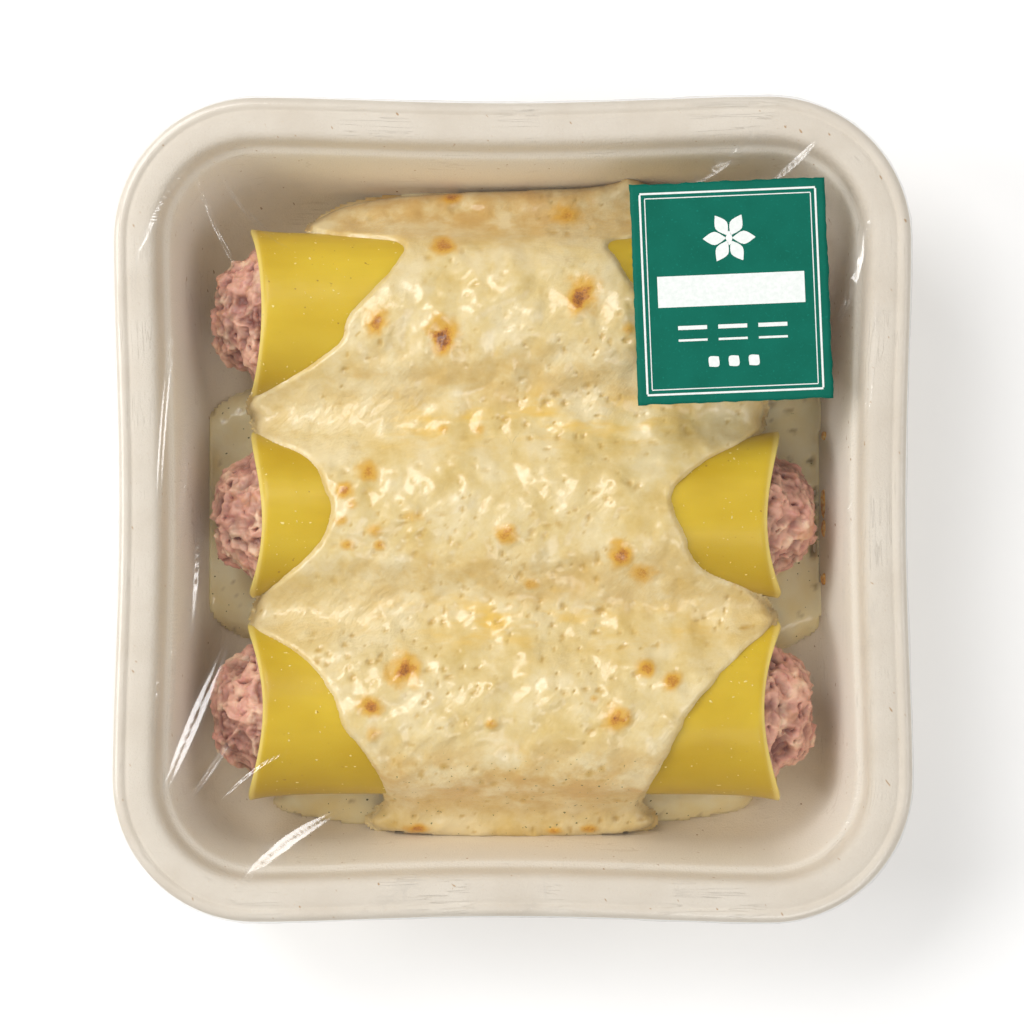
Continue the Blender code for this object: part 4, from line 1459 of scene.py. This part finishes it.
# %% The creases
CREASES = (
    ((-61.8, -86.0), (-51.3, -75.6), (-36.0, -66.5), 3.0, 0.36),
    ((-79.3, -67.0), (-71.6, -48.5), (-62.8, -28.0), 3.2, 0.40),
    ((-73.0, -66.5), (-67.0, -58.0), (-62.0, -50.0), 1.5, 0.39),
    ((-67.0, -68.0), (-58.0, -59.0), (-48.0, -54.0), 0.7, 0.35),
    ((-58.0, 48.0), (-66.5, 63.0), (-72.0, 78.0), 0.8, 0.40),
    ((-47.0, 56.0), (-59.0, 66.0), (-66.0, 76.0), 0.8, 0.33),
    ((38.0, 71.5), (48.5, 78.0), (57.8, 87.0), 2.0, 0.30),
    ((56.0, 71.5), (64.0, 78.0), (69.5, 84.0), 1.6, 0.30),
    ((72.4, 39.0), (78.0, 55.0), (81.0, 71.0), 1.6, 0.37),
    ((76.5, 0.0), (80.6, 30.0), (82.6, 62.0), 1.0, 0.57),
    ((-79.6, -13.0), (-78.4, 18.0), (-75.0, 49.0), 1.5, 0.40),
    ((-76.0, -22.0), (-73.8, 5.0), (-72.8, 31.0), 1.0, 0.41),
    ((-31.0, -90.0), (-25.0, -86.0), (-18.5, -80.0), 0.9, 0.40),
    ((1.0, -91.5), (5.5, -88.0), (8.5, -81.0), 0.8, 0.40),
    ((66.0, -84.0), (75.0, -70.0), (79.5, -50.0), 1.0, 0.42),
    ((-86.0, 40.0), (-82.0, 62.0), (-70.0, 80.0), 1.0, 0.19),
    ((-81.2, -56.6), (-79.7, -42.0), (-79.0, -20.0), 1.1, 0.41),
    ((-77.8, -54.0), (-76.3, -38.0), (-75.0, -5.0), 1.3, 0.41),
    ((-72.5, -32.0), (-71.0, -18.0), (-70.2, 4.0), 1.2, 0.40),
    ((74.6, -38.0), (75.2, -8.0), (77.0, 24.0), 1.3, 0.56),
    ((80.4, -52.0), (80.4, -22.0), (81.0, 8.0), 0.9, 0.57),
)
print(len(CREASES), "creases in the film")

# %% [markdown]
# For every point of the film, the nearest place on each crease tells on which side of it the point lies and
# how far away. The band slants there, fades out towards both ends, and eases back to the flat film beside.

# %% The creases' relief
CREASE_REACH = 1.3
CREASE_STEPS = 60
CREASE_CUTS = 8
CREASE_SOFT = 3.0


def crease_path(start, middle, end):
    """Points along a soft curve from start past middle to end."""
    share = np.linspace(0.0, 1.0, CREASE_STEPS)[:, None]
    start, middle, end = np.array(start), np.array(middle), np.array(end)
    bend = 2.0 * middle - (start + end) / 2.0
    return (1.0 - share) ** 2 * start + 2.0 * share * (1.0 - share) * bend + share ** 2 * end


def crease_height(x, y):
    """Height of all creases at each point, the way to the nearest one, and how much a point is on it."""
    height = np.zeros_like(x)
    fold = np.zeros_like(x)
    nearest = np.full(x.shape, 1e9)
    for start, middle, end, width, slope in CREASES:
        path = crease_path(start, middle, end)
        away_x = x[:, None] - path[None, :, 0]
        away_y = y[:, None] - path[None, :, 1]
        away = np.hypot(away_x, away_y)
        closest = away.argmin(axis=1)
        every = np.arange(len(x))
        heading = np.gradient(path, axis=0)
        heading /= np.hypot(heading[:, 0], heading[:, 1])[:, None]
        ahead = heading[closest]
        side = ahead[:, 0] * away_y[every, closest] - ahead[:, 1] * away_x[every, closest]
        distance = away[every, closest]
        fade = np.sin(np.pi * closest / (CREASE_STEPS - 1)) ** 0.6
        beyond = np.clip(distance / np.maximum(np.abs(side), 1e-6) - 1.0, 0.0, 1.0)
        fade = fade * (1.0 - smooth_step(0.0, 0.5, beyond))
        half = width / 2 * np.maximum(fade, 0.05)
        band = np.clip(side, -half, half)
        past = np.maximum(np.abs(side) - half, 0.0) / (CREASE_SOFT * width)
        height = height - slope * band * fade * (1.0 - smooth_step(0.0, 1.0, past))
        nearest = np.minimum(nearest, distance - width)
        fold = np.maximum(fold, fade * (1.0 - smooth_step(half, 1.4 * half + 0.1, np.abs(side))))
    return height, nearest, fold


# %% [markdown]
# Only the faces near a crease are divided, so the film stays light. Then the creases are raised, the whole
# sheet sags a little, and its turned-down hem is crinkled where it shrank round the rim.

# %% Divide and raise the creases
SAG = 0.10
CRINKLE = 0.16
CRINKLE_SIZE = 3.0
RIM_BAND = 5.0

take(film)
bpy.ops.object.mode_set(mode="EDIT")
mesh = edit_mesh(film)
centres = np.array([face.calc_center_median()[:] for face in mesh.faces]) / MM
nearest = crease_height(centres[:, 0], centres[:, 1])[1]
for face, distance, centre in zip(mesh.faces, nearest, centres):
    face.select_set(bool(distance < CREASE_REACH and centre[2] > RIM))
bmesh.update_edit_mesh(film.data)
bpy.ops.mesh.subdivide(number_cuts=CREASE_CUTS)
bpy.ops.object.mode_set(mode="OBJECT")
points = read_points(film)
x, y, z = points.T
flat = smooth_step(RIM - 1.0, RIM + 0.2, z)
creased = crease_height(x, y)
paint(film, "fold", creased[2] * flat)
sag = SAG * (1.0 + uneven_layers(x, y, 30.0, 77, 2))
crinkle = CRINKLE * uneven_layers(x, y, CRINKLE_SIZE, 83, 2) * (1.0 - flat)
on_rim = (np.abs(x) > HALF_X - RIM_BAND) | (np.abs(y) > HALF_Y - RIM_BAND)
lowest = np.where(on_rim, RIM + 0.1, RIM - 1.5)
points[:, 2] = np.maximum(z + flat * (creased[0] + sag), np.minimum(z, lowest))
outward = np.stack([x, y], axis=1) / np.hypot(x, y)[:, None]
points[:, :2] += outward * np.clip(crinkle, -0.1, 0.2)[:, None]
write_points(film, points)
whole_skin(film)
if film.data.polygons[len(film.data.polygons) // 2].normal.z < 0.0:
    whole_skin(film, inside_out=True)

# %% [markdown]
# Clear film passes nearly all light straight through and mirrors a little of it, more at a slant. Mixing a
# Transparent shader with a Glossy one gives exactly that, with no caustics to wait for. The mirror's share
# grows with how far the film leans away from the eye, and a little more is added on the folds.

# %% Clear film
MIRROR_SHARE = 0.055
SLANT_SHARE = 0.9
FOLD_SHARE = 0.10

clear = bpy.data.materials.new("clear film")
clear.use_nodes = True
tree = clear.node_tree
tree.nodes.remove(tree.nodes["Principled BSDF"])
output = tree.nodes["Material Output"]
through = tree.nodes.new("ShaderNodeBsdfTransparent")
mirror = tree.nodes.new("ShaderNodeBsdfGlossy")
mirror.inputs["Roughness"].default_value = 0.17
facing = tree.nodes.new("ShaderNodeLayerWeight")
facing.inputs["Blend"].default_value = 0.5
mix = tree.nodes.new("ShaderNodeMixShader")
slant = arithmetic(tree, "POWER", facing.outputs["Facing"], 5.0)
shine = arithmetic(tree, "ADD", arithmetic(tree, "MULTIPLY", slant, SLANT_SHARE), MIRROR_SHARE)
folded = arithmetic(tree, "MULTIPLY", painted(tree, "fold"), FOLD_SHARE)
tree.links.new(arithmetic(tree, "ADD", shine, folded), mix.inputs["Fac"])
tree.links.new(through.outputs["BSDF"], mix.inputs[1])
tree.links.new(mirror.outputs["BSDF"], mix.inputs[2])
tree.links.new(mix.outputs["Shader"], output.inputs["Surface"])
finish_piece(film, clear, "clear_film", "film")

# %% [markdown]
# ## The label
#
# A square paper label sits on the film over the far right corner. It is dark green with white print. The
# print here is plain decoration: a double border, a rosette of six petals, a wide band and a few short bars.
# The sheet is a thin grid with a slight curl, and the print is a layer of flat shapes a hair above it.

# %% The label's sheet
LABEL_HALF = (21.9, 24.8)
LABEL_CENTRE = (49.3, 48.7)
LABEL_TURN = math.radians(2.3)
LABEL_HEIGHT = RIM + 0.62
LABEL_GRID = 0.9
LABEL_SHEET = 0.12
TORN = 0.16
TORN_SIZE = 1.9


def turned_about(x, y, angle, middle):
    """Points turned by an angle and moved to a middle."""
    cosine, sine = math.cos(angle), math.sin(angle)
    return middle[0] + x * cosine - y * sine, middle[1] + x * sine + y * cosine


def on_label(points):
    """Turn points on the label's own square into place on the film, with its slight curl."""
    x, y = points[:, 0].copy(), points[:, 1].copy()
    points[:, 0], points[:, 1] = turned_about(x, y, LABEL_TURN, LABEL_CENTRE)
    points[:, 2] += LABEL_HEIGHT + 0.12 * (x / 22.0) ** 2 + 0.08 * uneven_layers(x, y, 16.0, 5, 2)
    return points


label = grid_piece("paper_label", *LABEL_HALF, LABEL_GRID)[0]
apply_modifier(label, "sheet", "SOLIDIFY", thickness=LABEL_SHEET * MM, offset=-1.0)
points = read_points(label)
x, y = points[:, 0], points[:, 1]
edge_x = smooth_step(LABEL_HALF[0] - 1.0, LABEL_HALF[0], np.abs(x))
edge_y = smooth_step(LABEL_HALF[1] - 1.0, LABEL_HALF[1], np.abs(y))
points[:, 0] += TORN * edge_x * uneven_layers(y, x, TORN_SIZE, 41, 2)
points[:, 1] += TORN * edge_y * uneven_layers(x, y, TORN_SIZE, 43, 2)
write_points(label, on_label(points))

# %% [markdown]
# Printed label paper is nearly matt, with a faint tooth, so its green is broken up only by very small
# differences.

# %% Label paper
LABEL_GREENS = ((0.3, (2, 100, 82)), (0.7, (5, 107, 89)))
TOOTH_TONE = (14, 122, 104)

paper, tree, shader = new_finish("label paper", 0.62)
place = object_place(tree)
tone = ramp(tree, noise_level(tree, place, 6.0, 3.0), LABEL_GREENS)
tone = tinted(tree, tone, step_ramp(tree, noise_level(tree, place, 0.5, 2.0), 0.6, 0.8), TOOTH_TONE)
tree.links.new(tone, shader.inputs["Base Color"])
shader.inputs["Specular IOR Level"].default_value = 0.15
bumps(tree, shader, ((noise_level(tree, place, 0.6, 2.0), 0.02),))
finish_piece(label, paper, "label_paper", "label")

# %% [markdown]
# Each shape of the print starts as a small primitive: a plane for a bar, a circle for a petal. They are
# placed on the label's own square, joined, and laid on the sheet with the same curl.

# %% The label's print
PRINT_LIFT = 0.05
BORDERS = ((2.2, 0.45), (3.3, 0.22))
PETALS = 6
PETAL_REACH = 3.3
PETAL_SIZE = (2.6, 1.5)
ROSETTE_HEIGHT = 12.0
ROSETTE_HEART = (0.8, 1.6)
BARS = (
    ((0.0, 0.4), (33.0, 7.0)),
    ((-9.0, -7.8), (6.5, 0.9)), ((-9.0, -10.6), (6.5, 0.5)),
    ((0.0, -7.8), (6.5, 0.9)), ((0.0, -10.6), (6.5, 0.5)),
    ((9.0, -7.8), (6.5, 0.9)), ((9.0, -10.6), (6.5, 0.5)),
)
TILES = (-4.5, 0.0, 4.5)
TILE_HEIGHT = -15.6
TILE_SIZE = (1.5, 1.5)


def flat_bar(centre, size):
    """A thin flat bar."""
    rest_selection()
    bpy.ops.mesh.primitive_grid_add(x_subdivisions=12, y_subdivisions=2, size=1.0)
    bar = name_new("bar")
    points = read_points(bar) * MM
    points = points * np.array([size[0], size[1], 1.0]) + np.array([centre[0], centre[1], PRINT_LIFT])
    write_points(bar, points)
    return bar


def petal(centre, size, turn):
    """A pointed petal whose tip looks along turn."""
    rest_selection()
    bpy.ops.mesh.primitive_circle_add(vertices=24, radius=1.0, fill_type="NGON")
    leaf = name_new("petal")
    points = read_points(leaf) * MM
    along, across = points[:, 0].copy(), points[:, 1].copy()
    across = across * size[1] * (1.0 - np.abs(along) ** 1.6 * 0.75)
    points[:, 0], points[:, 1] = turned_about(along * size[0], across, turn, centre)
    points[:, 2] = PRINT_LIFT
    write_points(leaf, points)
    return leaf


# %% [markdown]
# Now the shapes are set out: two borders, the rosette round its heart, the bars and the tiles.

# %% Set out the print
shapes = []
for inset, thickness in BORDERS:
    reach_x, reach_y = LABEL_HALF[0] - inset, LABEL_HALF[1] - inset
    for side in (-1, 1):
        shapes.append(flat_bar((0.0, side * reach_y), (2 * reach_x, thickness)))
        shapes.append(flat_bar((side * reach_x, 0.0), (thickness, 2 * reach_y - thickness)))
for step in range(PETALS):
    turn = math.tau * step / PETALS
    middle = (PETAL_REACH * math.cos(turn), ROSETTE_HEIGHT + PETAL_REACH * math.sin(turn))
    shapes.append(petal(middle, PETAL_SIZE, turn))
shapes.append(petal((0.0, ROSETTE_HEIGHT), ROSETTE_HEART, 0.0))
for centre, size in BARS:
    shapes.append(flat_bar(centre, size))
for offset in TILES:
    shapes.append(petal((offset, TILE_HEIGHT), TILE_SIZE, math.pi / 4))
label_print = joined("label_print", shapes)
write_points(label_print, on_label(read_points(label_print)))

# %% [markdown]
# The print is white ink with a very faint grain.

# %% White print
INK_TONES = ((0.3, (232, 238, 234)), (0.7, (246, 248, 246)))

ink, tree, shader = new_finish("white print", 0.5)
grain = noise_level(tree, object_place(tree), 0.8, 2.0)
tone = ramp(tree, grain, INK_TONES)
tree.links.new(tone, shader.inputs["Base Color"])
finish_piece(label_print, ink, "label_paper")
